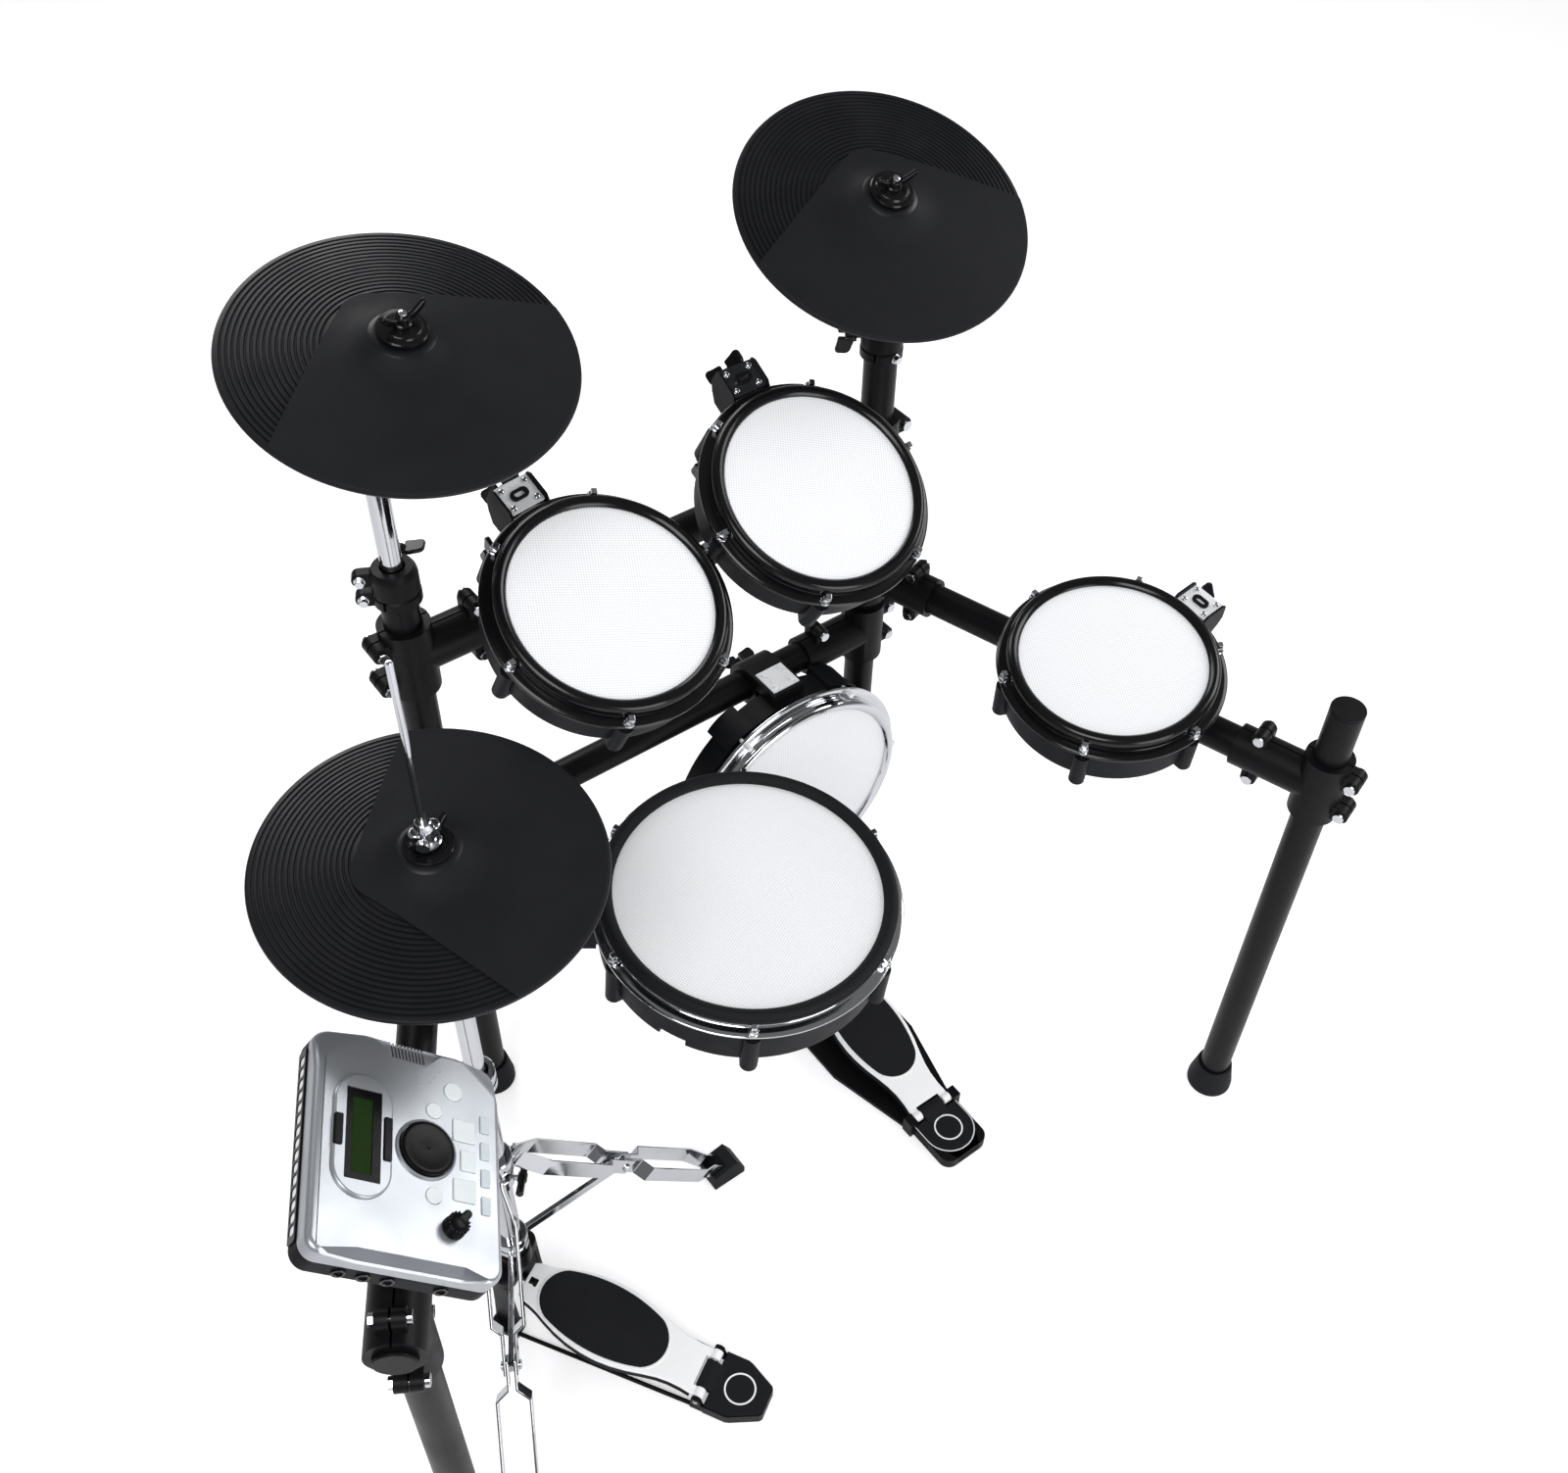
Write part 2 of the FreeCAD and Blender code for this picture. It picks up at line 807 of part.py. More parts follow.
# The rod clamp: a ring round a rack tube along X and a boss beside it, at Y, for a rod along Z
def rod_clamp():
    width = "rod_clamp_width"
    ring = cylinder("clamp_radius", width, point("-rod_clamp_width / 2", "0", "0"), side)
    boss_low = point("0", "rod_offset", "-rod_boss_height / 2")
    boss = cylinder("rod_boss_radius", "rod_boss_height", boss_low)
    bridge = block("rod_bridge_width", "rod_offset", "rod_boss_height - 2 * bridge_inset",
                   ("-rod_bridge_width / 2", "0", "bridge_inset - rod_boss_height / 2"))
    return less(
        fused(ring, boss, bridge),
        cylinder("tube_diameter / 2 + slide_clearance", width,
                 point("-rod_clamp_width / 2", "0", "0"), side),
        cylinder("rod_radius + slide_clearance", "rod_boss_height", boss_low),
        block(width, "clamp_radius", "split_gap",
              ("-rod_clamp_width / 2", "-clamp_radius", "-split_gap / 2")),
    )


# Each rod's clamp on its tube, with the place of the ball on its free end
def rod_place(start, run, outward, along, lean):
    angle = math.radians(number(lean))
    axis = up * math.cos(angle) - outward * math.sin(angle)
    offset = outward * math.cos(angle) + up * math.sin(angle)
    return Placement(start + run * number(along), Rotation(run, offset, axis, "ZYX"))


right_out = Vector(-right_run.y, right_run.x, 0)
left_in = Vector(-left_run.y, left_run.x, 0)
rods = {
    "tom_1": rod_place(back_left + upper_bar, side, ahead, "tom_1_along", "tom_1_lean"),
    "tom_2": rod_place(back_left + upper_bar, side, ahead, "tom_2_along", "tom_2_lean"),
    "tom_3": rod_place(back_right + arm_level, right_run, right_out, "arm_length - tom_3_inset",
                       "tom_3_lean"),
    "snare": Placement(back_left + arm_level + left_run * number("snare_along"),
                       Rotation(left_run * -1, up * -1, left_in, "ZYX")),
}


def ball_centre(name):
    return rods[name].multVec(point("0", "rod_offset", f"{name}_rise"))


def pad_rod(name):
    foot = point("0", "rod_offset", "-rod_tail")
    return fused(
        cylinder("rod_radius", f"{name}_rise + rod_tail", foot),
        ball("rod_ball_radius", point("0", "rod_offset", f"{name}_rise")),
    )


def collar():
    sleeve = "tube_diameter / 2 + slide_clearance"
    low = "collar_lip - collar_height"
    return turned("collar", [
        ("mast_radius + slide_clearance", "collar_lip"),
        ("mast_radius + slide_clearance", "0"),
        (sleeve, "0"),
        (sleeve, low),
        ("collar_radius", low),
        ("collar_radius", "-14"),
        ("collar_radius - 3", "collar_lip"),
    ])


def kick_hanger():
    top = "kick_height - lower_bar_height + kick_head_radius + skirt_reach + head_gap"
    ring = cylinder("clamp_radius", "hanger_width", point("-hanger_width / 2", "0", "0"), side)
    arm = block("hanger_width", "kick_face - skirt_top - hanger_inset", "hanger_thickness",
                ("-hanger_width / 2", "hanger_inset + skirt_top - kick_face", top))
    return less(
        fused(ring, arm),
        cylinder("tube_diameter / 2 + slide_clearance", "hanger_width",
                 point("-hanger_width / 2", "0", "0"), side),
    )


def mount_clamps():
    grip = rod_clamp()
    grip_wing = point("0", "rod_offset + rod_boss_radius", "0")
    screws = [place * Placement(grip_wing, Rotation(up, ahead)) for place in rods.values()]
    post_top = up * number("back_post_top")
    collars = [Placement(post + post_top, Rotation()) for post in (back_left, back_right)]
    collar_side = number("collar_radius")
    collar_wing = up * number("back_post_top - collar_height / 2")
    for post in (back_left, back_right):
        spot = post + collar_wing + ahead * collar_side
        screws.append(Placement(spot, Rotation(up, ahead)))
    hanger_spot = back_right + lower_bar - side * number("kick_inset")
    screws.append(Placement(hanger_spot + ahead * number("clamp_radius"), Rotation(up, ahead)))
    module_spot = front_left + arm_level - left_run * number("module_inset")
    screws.append(Placement(module_spot - left_in * number("clamp_radius"), Rotation(up, left_in * -1)))
    keep_group("rod_clamps", [
        copies(grip, *rods.values()),
        copies(collar(), *collars),
        copies(kick_hanger(), Placement(hanger_spot, Rotation())),
        copies(wing, *screws),
    ])
    keep_group("pad_rods", [copies(pad_rod(name), place) for name, place in rods.items()])


# The drum pads. Head on the plane Z = 0, lugs at 0, 60 and so on from X, bracket half-way between.
def drum_shell(kind):
    radius = f"{kind}_head_radius"
    depth = f"{kind}_depth"
    body = turned(f"{kind}_bowl", [
        ("0", f"shell_floor - {depth}"),
        (f"{radius} - shell_wall", f"shell_floor - {depth}"),
        (f"{radius} - shell_wall", "-membrane"),
        (radius, "-membrane"),
        (radius, "-neck_depth"),
        (f"{radius} + skirt_reach", "-skirt_top"),
        (f"{radius} + skirt_reach", f"edge_round - {depth}"),
        (f"{radius} + skirt_reach - edge_round", f"-{depth}", "-edge_round"),
        ("0", f"-{depth}"),
    ])
    half = f"{kind}_lug_width / 2"
    lug = padded(body, "XY_Plane", [
        (f"{radius} + lug_root", f"-{half}"),
        (f"{radius} + bolt_reach", f"-{half}"),
        (f"{radius} + bolt_reach", half, f"{kind}_lug_nose"),
        (f"{radius} + lug_root", half),
    ], f"{depth} + lug_drop - lug_top", f"-{depth} - lug_drop")
    circle = draw_circle(body, f"{radius} + bolt_reach", "bolt_radius + bolt_clearance", "-lug_top")
    hole = pocketed(body, circle, "bolt_depth")
    repeated(body, [lug, hole], "lug_count")
    return body


def drum_hoop(kind):
    radius = f"{kind}_head_radius"
    top = "flange_thickness - hoop_low"
    body = turned(f"{kind}_hoop_ring", [
        (f"{radius} - lip_reach", "lip_gap"),
        (f"{radius} + hoop_inner", "lip_gap"),
        (f"{radius} + hoop_inner", "-ring_high"),
        (f"{radius} + hoop_seat", "-ring_high"),
        (f"{radius} + hoop_seat", "-hoop_low"),
        (f"{radius} + flange_reach", "-hoop_low"),
        (f"{radius} + flange_reach", top),
        (f"{radius} + hoop_reach", top),
        (f"{radius} + hoop_reach", "hoop_shoulder"),
        (f"{radius} + hoop_crown", "hoop_top", "hoop_round"),
        (f"{radius} - lip_reach", "lip_top", "lip_round"),
    ])
    return drilled(body, kind)


def drilled(body, kind):
    spot = f"{kind}_head_radius + bolt_reach"
    sketch = draw_circle(body, spot, "bolt_radius + bolt_clearance", "flange_thickness - hoop_low")
    repeated(body, [pocketed(body, sketch, "flange_thickness")], "lug_count")
    return body


def snare_hoop():
    radius = "snare_head_radius"
    top = "flange_thickness - hoop_low"
    body = turned("snare_hoop_ring", [
        (f"{radius} + hoop_inner", "-ring_high"),
        (f"{radius} + hoop_seat", "-ring_high"),
        (f"{radius} + hoop_seat", "-hoop_low"),
        (f"{radius} + flange_reach", "-hoop_low"),
        (f"{radius} + flange_reach", top),
        (f"{radius} + snare_hoop_reach", top),
        (f"{radius} + snare_hoop_reach", "rim_seat"),
        (f"{radius} + hoop_inner", "rim_seat"),
    ])
    return drilled(body, "snare")


def snare_rim():
    radius = "snare_head_radius"
    wall = f"{radius} + snare_hoop_reach + slide_clearance"
    return turned("snare_rubber", [
        (f"{radius} - lip_reach", "lip_gap"),
        (f"{radius} + hoop_inner", "lip_gap"),
        (f"{radius} + hoop_inner", "rim_seat"),
        (wall, "rim_seat"),
        (wall, "-rim_skirt"),
        (f"{radius} + rim_reach", "-rim_skirt"),
        (f"{radius} + rim_reach", "rim_shoulder"),
        (f"{radius} + rim_crown", "rim_top", "rim_round"),
        (f"{radius} - lip_reach", "rim_lip_top", "rim_lip_round"),
    ])


def drum_head(kind):
    radius = f"{kind}_head_radius + head_gap"
    return turned(f"{kind}_mesh", [
        ("0", "-membrane"),
        (radius, "-membrane"),
        (radius, "-ring_low"),
        (f"{radius} + ring_width", "-ring_low"),
        (f"{radius} + ring_width", "-ring_high"),
        (f"{radius} + membrane", "-ring_high"),
        (f"{radius} + membrane", "0"),
        ("0", "0"),
    ])


def drum_trigger(kind):
    height = f"{kind}_depth - shell_floor - membrane - head_gap"
    floor = point("0", "0", f"shell_floor - {kind}_depth")
    return cone("trigger_low_radius", "trigger_high_radius", height, floor)


def tension_bolts(kind):
    reach = number(f"{kind}_head_radius + bolt_reach")
    flange = number("flange_thickness - hoop_low")
    washer_top = flange + number("bolt_washer_height")
    low = Vector(reach, 0, -number("lug_top + bolt_depth - bolt_end"))
    bolt = fused(
        cylinder("bolt_radius", "lug_top + bolt_depth - bolt_end + flange_thickness - hoop_low", low),
        cylinder("bolt_washer_radius", "bolt_washer_height", Vector(reach, 0, flange)),
        hexagon("bolt_head_radius", "bolt_head_height", Vector(reach, 0, washer_top)),
    )
    count = round(number("lug_count"))
    return copies(bolt, *[spun(360 * index / count) for index in range(count)])


# The bracket block on a pad's side holds the rod's ball; the rod leaves it along the direction given
def pad_bracket(kind, leave):
    radius = f"{kind}_head_radius"
    drop = f"{kind}_ball_drop"
    start = f"{radius} + skirt_reach + head_gap"
    end = f"{radius} + bracket_reach + bracket_length / 2"
    body = doc.addObject("PartDesign::Body", f"{kind}_bracket")
    padded(body, "XZ_Plane", [
        (start, f"-{drop} - bracket_height / 2"),
        (f"{end} - bracket_step * 3", f"-{drop} - bracket_height / 2"),
        (end, f"bracket_step * 3 - {drop} - bracket_height / 2"),
        (end, f"bracket_height / 2 - {drop}"),
        (f"{radius} + flange_reach + bracket_step", f"bracket_height / 2 - {drop}"),
        (start, f"bracket_height / 2 - bracket_step * 3 - {drop}"),
    ], "bracket_width", centred=True)
    centre = point(f"{radius} + bracket_reach", "0", f"-{drop}")
    mouth = centre + leave * number("rod_radius")
    return less(
        body,
        ball("rod_ball_radius + ball_clearance", centre, leave),
        cone("rod_radius + mouth_low", "rod_radius + mouth_high", "bracket_height", mouth, leave),
    )


def bracket_plate(kind):
    radius = f"{kind}_head_radius"
    level = f"bracket_height / 2 - {kind}_ball_drop"
    low = f"{radius} + flange_reach + bracket_step"
    length = "bracket_reach + bracket_length / 2 - flange_reach - bracket_step"
    plate = block(length, "bracket_width", "bracket_plate_thickness",
                  (low, "-bracket_width / 2", level))
    screws = []
    inset = number("bracket_screw_inset")
    for x in (number(low) + inset, number(f"{low} + {length}") - inset):
        for y in (inset - number("bracket_width / 2"), number("bracket_width / 2") - inset):
            spot = Vector(x, y, number(f"{level} + bracket_plate_thickness"))
            screws.append(cylinder("bracket_screw_radius", "bracket_screw_height", spot))
    return fused(plate, *screws)


def drum_place(name, kind, tilt, turn, bracket_turn):
    axis = leaning(tilt, turn)
    flat = compass(bracket_turn)
    reach = (flat - axis * flat.dot(axis)).normalize()
    centre = (ball_centre(name) - reach * number(f"{kind}_head_radius + bracket_reach")
              + axis * number(f"{kind}_ball_drop"))
    lug_dir = Rotation(axis, -180 / number("lug_count")).multVec(reach)
    return frame_at(centre, lug_dir, axis)


def toms():
    half_pitch = spun(180 / number("lug_count"))
    bracket = pad_bracket("tom", up * -1)
    end_face = point("tom_head_radius + bracket_reach + bracket_length / 2", "0", "-tom_ball_drop")
    screw = half_pitch * Placement(end_face, Rotation(up, side) * Rotation(up, 90))
    shell, hoop, head = drum_shell("tom"), drum_hoop("tom"), drum_head("tom")
    foam, bolts, plate = drum_trigger("tom"), tension_bolts("tom"), bracket_plate("tom")
    for count in (1, 2, 3):
        name = f"tom_{count}"
        turn = number(f"{name}_turn")
        bracket_turn = number("tom_3_bracket_turn") if count == 3 else turn + 180
        place = drum_place(name, "tom", number(f"{name}_tilt"), turn, bracket_turn)
        keep_group(f"{name}_shell", [copies(shell, Placement()), copies(bracket, half_pitch),
                                     copies(wing, screw), copies(foam, foam.Placement)], place)
        keep_group(f"{name}_hoop", [copies(hoop, Placement())], place)
        keep_group(f"{name}_head", [copies(head, Placement())], place)
        keep_group(f"{name}_hardware", [bolts, copies(plate, half_pitch)], place)


def snare():
    half_pitch = spun(180 / number("lug_count"))
    place = drum_place("snare", "snare", number("snare_tilt"), number("snare_turn"),
                       number("snare_bracket_turn"))
    notch = block("snare_notch_width", "snare_notch_width", "snare_notch_height",
                  ("snare_head_radius", "-snare_notch_width / 2", "-snare_depth"))
    notch.Placement = spun(90) * notch.Placement
    under = point("snare_head_radius + bracket_reach", "0", "-snare_ball_drop - bracket_height / 2")
    screw = half_pitch * Placement(under, Rotation(up, up * -1))
    bracket = copies(pad_bracket("snare", side), half_pitch)
    keep_group("snare_shell", [less(drum_shell("snare"), notch), bracket, copies(wing, screw),
                               drum_trigger("snare")], place)
    keep(snare_hoop(), "snare_hoop", place)
    keep(snare_rim(), "snare_rim", place)
    keep(drum_head("snare"), "snare_head", place)
    plate = copies(bracket_plate("snare"), half_pitch)
    keep_group("snare_hardware", [tension_bolts("snare"), plate], place)


# The kick stands upright with its head to the drummer and hangs from the lower bar
kick_spot = point("back_width / 2 - kick_inset", "-kick_face", "kick_height")


def kick():
    place = frame_at(kick_spot, side, ahead * -1)
    keep_group("kick_shell", [drum_shell("kick"), drum_trigger("kick")], place)
    keep(drum_hoop("kick"), "kick_hoop", place)
    keep(drum_head("kick"), "kick_head", place)
    rise = number("kick_head_radius + skirt_reach + head_gap + hanger_thickness")
    hanger_top = kick_spot + up * rise + ahead * number("skirt_top + hanger_inset + cover_inset")
    plate = copies(cover_plate(), place.inverse() * Placement(hanger_top, Rotation()))
    keep_group("kick_hardware", [tension_bolts("kick"), plate], place)


def cover_plate():
    width = "hanger_width - 2 * cover_inset"
    plate = block(width, width, "bracket_plate_thickness", ("cover_inset - hanger_width / 2", "0", "0"))
    screws = []
    inset = number("bracket_screw_inset")
    far = number(width) - inset
    middle = number(width) / 2
    for x in (inset - middle, middle - inset):
        for y in (inset, far):
            spot = Vector(x, y, number("bracket_plate_thickness"))
            screws.append(cylinder("bracket_screw_radius", "bracket_screw_height", spot))
    return fused(plate, *screws)


def kick_stand():
    skirt = cylinder("kick_head_radius + skirt_reach + head_gap", "kick_depth", kick_spot, ahead)
    middle = "back_width / 2 - kick_inset"
    bed_y = "skirt_top + stand_bed_inset - kick_face"
    legs = []
    for sign in ("", "-"):
        legs.append(less(
            block("stand_leg_width", "stand_leg_thickness", "kick_height - stand_bed_thickness",
                  (f"{middle} + {sign}stand_leg_place - stand_leg_width / 2", bed_y,
                   "pad_foot_height + stand_thickness")),
            skirt,
        ))
    plate = block("stand_width", "stand_length", "stand_thickness",
                  (f"{middle} - stand_width / 2", f"{bed_y} - stand_length / 2", "pad_foot_height"))
    pedal_front = "kick_heel_y + post_place + post_length / 2 + plate_margin"
    tongue = block("stand_tongue_width", f"{bed_y} - ({pedal_front})", "stand_thickness",
                   (f"{middle} - stand_tongue_width / 2", pedal_front, "pad_foot_height"))
    keep_group("kick_stand", [fused(plate, tongue, *legs)])


# Cymbal pads: hub round the stud at Z = 0, the bow falls towards the rim, and the raised strike zone
# lies on the +X side between two straight edges
def cymbal_pad(name):
    low = "-cymbal_drop - cymbal_thickness / 2"
    pad = turned(name, [
        ("cymbal_bore", "0"),
        ("bell_radius", "0"),
        ("bell_foot", "-cymbal_thickness - 2"),
        ("cymbal_radius - rim_edge", low),
        ("cymbal_radius", f"{low} + rim_edge", "rim_edge"),
        ("cymbal_radius - rim_edge", "-cymbal_drop + cymbal_thickness / 2", "rim_edge + 0.5"),
        ("bell_foot", "-2"),
        ("bell_radius", "cymbal_hub - 3", "-bell_round"),
        ("bell_radius - 6", "cymbal_hub", "bell_round / 2"),
        ("cymbal_bore", "cymbal_hub"),
    ])
    skin = turned(name + "_skin", [
        ("zone_inner", "-4"),
        ("cymbal_radius - rim_edge", "-cymbal_drop"),
        ("cymbal_radius - rim_edge", "-cymbal_drop + cymbal_thickness / 2 + zone_height"),
        ("bell_foot + 2", "zone_height - 2"),
    ])
    sector = doc.addObject("PartDesign::Body", name + "_sector")
    padded(sector, "XY_Plane", [
        ("zone_rim", "-cymbal_radius"),
        ("2 * cymbal_radius", "-cymbal_radius"),
        ("2 * cymbal_radius", "cymbal_radius"),
        ("zone_rim", "cymbal_radius"),
        ("-zone_corner", "zone_nose / 2"),
        ("-zone_corner", "-zone_nose / 2", "zone_nose"),
    ], "6 * cymbal_drop", "-3 * cymbal_drop")
    return fused(pad, shared(skin, sector))


posts = {"crash": back_left, "ride": back_right}


def knuckle_point(name):
    elbow = posts[name] + up * number(f"{name}_mast_top + neck_rise")
    lean = leaning(number("neck_lean"), number(f"{name}_neck_turn"))
    return elbow, elbow + lean * number(f"{name}_neck_length")


def cymbal_arm(name):
    post = posts[name]
    elbow, pivot = knuckle_point(name)
    hinge = compass(number(f"{name}_turn") + 90)
    width = number("knuckle_width")
    gap = number("knuckle_gap")
    inner = pivot - hinge * (width + gap / 2)
    shoulder = inner + hinge * (width / 2)
    lean = shoulder - elbow
    neck = less(
        cylinder("neck_radius", f"{name}_neck_length - knuckle_radius / 2", elbow, lean),
        cylinder("3 * knuckle_radius", "3 * knuckle_width", pivot - hinge * (gap / 2), hinge),
    )
    return [
        cylinder("mast_radius", f"{name}_mast_top - back_post_top + mast_sink",
                 post + up * number("back_post_top - mast_sink")),
        fused(
            cylinder("neck_radius", "neck_rise", post + up * number(f"{name}_mast_top")),
            ball("neck_radius", elbow),
            neck,
            cylinder("knuckle_radius", "knuckle_width", inner, hinge),
            cylinder("knuckle_pin_radius", "2 * knuckle_width + knuckle_gap", inner, hinge),
        ),
    ]


def cymbal_tilter():
    gap = number("knuckle_gap")
    knuckle = less(
        cylinder("knuckle_radius", "knuckle_width", ahead * (gap / 2), ahead),
        cylinder("knuckle_pin_radius + hinge_clearance", "knuckle_width", ahead * (gap / 2), ahead),
    )
    middle = ahead * (number("knuckle_width") / 2 + gap / 2)
    seat = number("stud_seat")
    topper = seat + number("seat_gap + cymbal_hub + topper_gap")
    bore_low = number("knuckle_pin_radius + hinge_clearance")
    stud = cylinder("stud_radius", f"stud_seat + stud_tip - {bore_low}", middle + up * bore_low)
    return [fused(
        knuckle,
        stud,
        cone("stud_radius + 1", "seat_radius", "seat_height", middle + up * (seat - number("seat_height"))),
        cone("topper_radius", "topper_radius - 5", "topper_height", middle + up * topper),
    ), middle, topper]


def cymbals():
    pieces, middle, topper = cymbal_tilter()
    nut = middle + up * (topper + number("topper_height"))
    for name in posts:
        tilt, turn = number(f"{name}_tilt"), number(f"{name}_turn")
        pivot = knuckle_point(name)[1]
        hinge = compass(turn + 90)
        axis = leaning(tilt, turn)
        place = Placement(pivot, Rotation(hinge.cross(axis), hinge, axis, "ZYX"))
        seat = middle + up * number("stud_seat + seat_gap")
        keep_group(f"{name}_pad", [copies(cymbal_pad(f"{name}_disc"), Placement(seat, Rotation()))], place)
        topped = fused(copies(pieces, Placement()), copies(wing, Placement(nut, Rotation(up, 90))))
        keep_group(f"{name}_tilter", [topped], place)
    keep_group("cymbal_arms", cymbal_arm("crash") + cymbal_arm("ride"))


# The hi-hat stands by itself: tube, pull rod, tripod and its own pedal
hihat_spot = front_left + point("hihat_right", "hihat_ahead", "0")
hihat_level = "arm_height + hihat_pad_rise"


def hihat_top():
    seat = hihat_spot + up * number(hihat_level)
    axis = leaning(number("hihat_lean"), number("hihat_lean_turn"))
    flat = compass(number("hihat_pad_turn"))
    zone = (flat - axis * flat.dot(axis)).normalize()
    keep_group("hihat_pad", [copies(cymbal_pad("hihat_disc"), Placement())], frame_at(seat, zone, axis))
    level = number(hihat_level)
    low = level - number("clutch_nut_gap + clutch_nut_height")
    high = level + number("cymbal_hub + clutch_nut_gap")
    lobe_level = high + number("2 * clutch_nut_height")
    lobes = []
    for shift in (number("lobe_place"), -number("lobe_place")):
        lobes.append(cylinder("clutch_lobe / 2", "lobe_height", Vector(shift, 0, lobe_level)))
    keep_group("hihat_clutch", [fused(
        cylinder("hihat_rod_radius", f"{hihat_level} + hihat_rod_rise - hihat_rod_low",
                 up * number("hihat_rod_low")),
        cylinder("clutch_radius", "clutch_height", up * low),
        cylinder("clutch_lobe", "clutch_nut_height", up * low),
        cylinder("clutch_lobe", "clutch_nut_height", up * high),
        *lobes,
    )], Placement(hihat_spot, Rotation()))


def strip(start, end, width_dir):
    run = end - start
    length = f"{run.Length}"
    item = block(length, "leg_strip_width", "leg_strip_thickness",
                 ("0", "-leg_strip_width / 2", "-leg_strip_thickness / 2"))
    turn = Rotation(run, width_dir.cross(run), width_dir, "XZY")
    item.Placement = Placement(start, turn) * item.Placement
    return item


def tripod_leg(turn):
    out = compass(turn)
    across = compass(turn + 90)
    collar_out = out * number("collar_ring_radius - 4")
    top = collar_out + up * number("leg_collar_height")
    low = collar_out + up * number("brace_collar_height")
    joint = out * number("leg_joint_radius") + up * number("leg_joint_height")
    foot = out * number("leg_foot_radius") + up * number("leg_foot_height")
    spread = across * number("leg_strip_spread / 2")
    pieces = []
    sleeve = cylinder("collar_ring_radius + slide_clearance", "lower_tube_top")
    for shift in (spread, spread * -1):
        legs = fused(strip(top + shift, joint + shift, across), strip(joint + shift, foot + shift, across))
        pieces.append(less(legs, sleeve))
    inner = across * number("leg_strip_spread / 2 - leg_strip_thickness - head_gap")
    for shift in (inner, inner * -1):
        pieces.append(less(strip(low + shift, joint + shift, across), sleeve))
    return pieces


def hihat_stand():
    sensor_top = f"{hihat_level} - hihat_travel - clutch_nut_gap - clutch_nut_height - hinge_clearance"
    base = up * number("frame_height")
    lower = less(cylinder("lower_tube_radius", "lower_tube_top - frame_height", base),
                 cylinder("lower_tube_bore", "lower_tube_top - frame_height", base))
    upper = less(
        fused(
            cylinder("upper_tube_radius", f"{sensor_top} - upper_tube_low", up * number("upper_tube_low")),
            cylinder("sensor_radius", "sensor_height", up * number(f"{sensor_top} - sensor_height")),
        ),
        cylinder("upper_tube_bore", f"{sensor_top} - sensor_height - upper_tube_low",
                 up * number("upper_tube_low")),
        cylinder("hihat_rod_radius + hinge_clearance", "2 * sensor_height",
                 up * number(f"{sensor_top} - 3 * sensor_height / 2")),
    )
    ring_bore = "lower_tube_radius + slide_clearance"
    pieces = [lower, upper]
    for level in ("leg_collar_height", "brace_collar_height", "lower_tube_top"):
        base = up * number(f"{level} - collar_ring_height / 2")
        pieces.append(less(cylinder("collar_ring_radius", "collar_ring_height", base),
                           cylinder(ring_bore, "collar_ring_height", base)))
    turn = number("leg_turn")
    for step in (0, 120, 240):
        pieces += tripod_leg(turn + step)
    keep_group("hihat_stand", pieces, Placement(hihat_spot, Rotation()))


# Pedals: heel hinge along X at the origin, the footboard runs up along +Y
def footboard():
    board = doc.addObject("PartDesign::Body", "board")
    padded(board, "XY_Plane", [
        ("-board_heel_half", "hinge_barrel_radius / 2"),
        ("board_heel_half", "hinge_barrel_radius / 2"),
        ("board_waist_half", "board_waist_place"),
        ("board_toe_half", "board_toe_place", "board_side_radius"),
        ("board_toe_half", "board_length"),
        ("-board_toe_half", "board_length"),
        ("-board_toe_half", "board_toe_place"),
        ("-board_waist_half", "board_waist_place", "board_side_radius"),
    ], "board_thickness", centred=True)
    end = point("-board_heel_half", "0", "0")
    barrel = cylinder("hinge_barrel_radius", "2 * board_heel_half", end, side)
    hole = block("board_hole", "board_hole", "2 * board_thickness",
                 ("-board_hole / 2", "board_hole_place - board_hole / 2", "-board_thickness"))
    pin = cylinder("hinge_pin_radius + hinge_clearance", "2 * board_heel_half", end, side)
    return less(fused(board, barrel), hole, pin)


def footboard_pad():
    oval = doc.addObject("PartDesign::Body", "oval")
    padded(oval, "XY_Plane", [
        ("oval_corner_x", "oval_place + oval_corner_y", "oval_side_radius"),
        ("-oval_corner_x", "oval_place + oval_corner_y", "oval_end_radius"),
        ("-oval_corner_x", "oval_place - oval_corner_y", "oval_side_radius"),
        ("oval_corner_x", "oval_place - oval_corner_y", "oval_end_radius"),
    ], "oval_thickness", "board_thickness / 2")
    return oval


def heel_plate():
    heel = doc.addObject("PartDesign::Body", "heel")
    padded(heel, "XY_Plane", [
        ("heel_half", "-heel_gap"),
        ("-heel_half", "-heel_gap"),
        ("-heel_half", "-heel_length / 2"),
        ("-heel_half / 2", "-heel_length"),
        ("heel_half / 2", "-heel_length"),
        ("heel_half", "-heel_length / 2"),
    ], "heel_thickness")
    pin = cylinder("hinge_pin_radius", "2 * (board_heel_half + cheek_width)",
                   point("-board_heel_half - cheek_width", "0", "hinge_height"), side)
    cheeks = []
    for start in ("board_heel_half + head_gap", "-board_heel_half - head_gap - cheek_width"):
        cheeks.append(block("cheek_width", "heel_gap + cheek_reach", "hinge_height + 2 * hinge_pin_radius",
                            (start, "-heel_gap - slide_clearance", "0")))
    return fused(heel, pin, *cheeks)


board = footboard()
board_pad = footboard_pad()
heel = heel_plate()
board_lift = Placement(point("0", "0", "hinge_height"), Rotation(side, number("board_rise")))

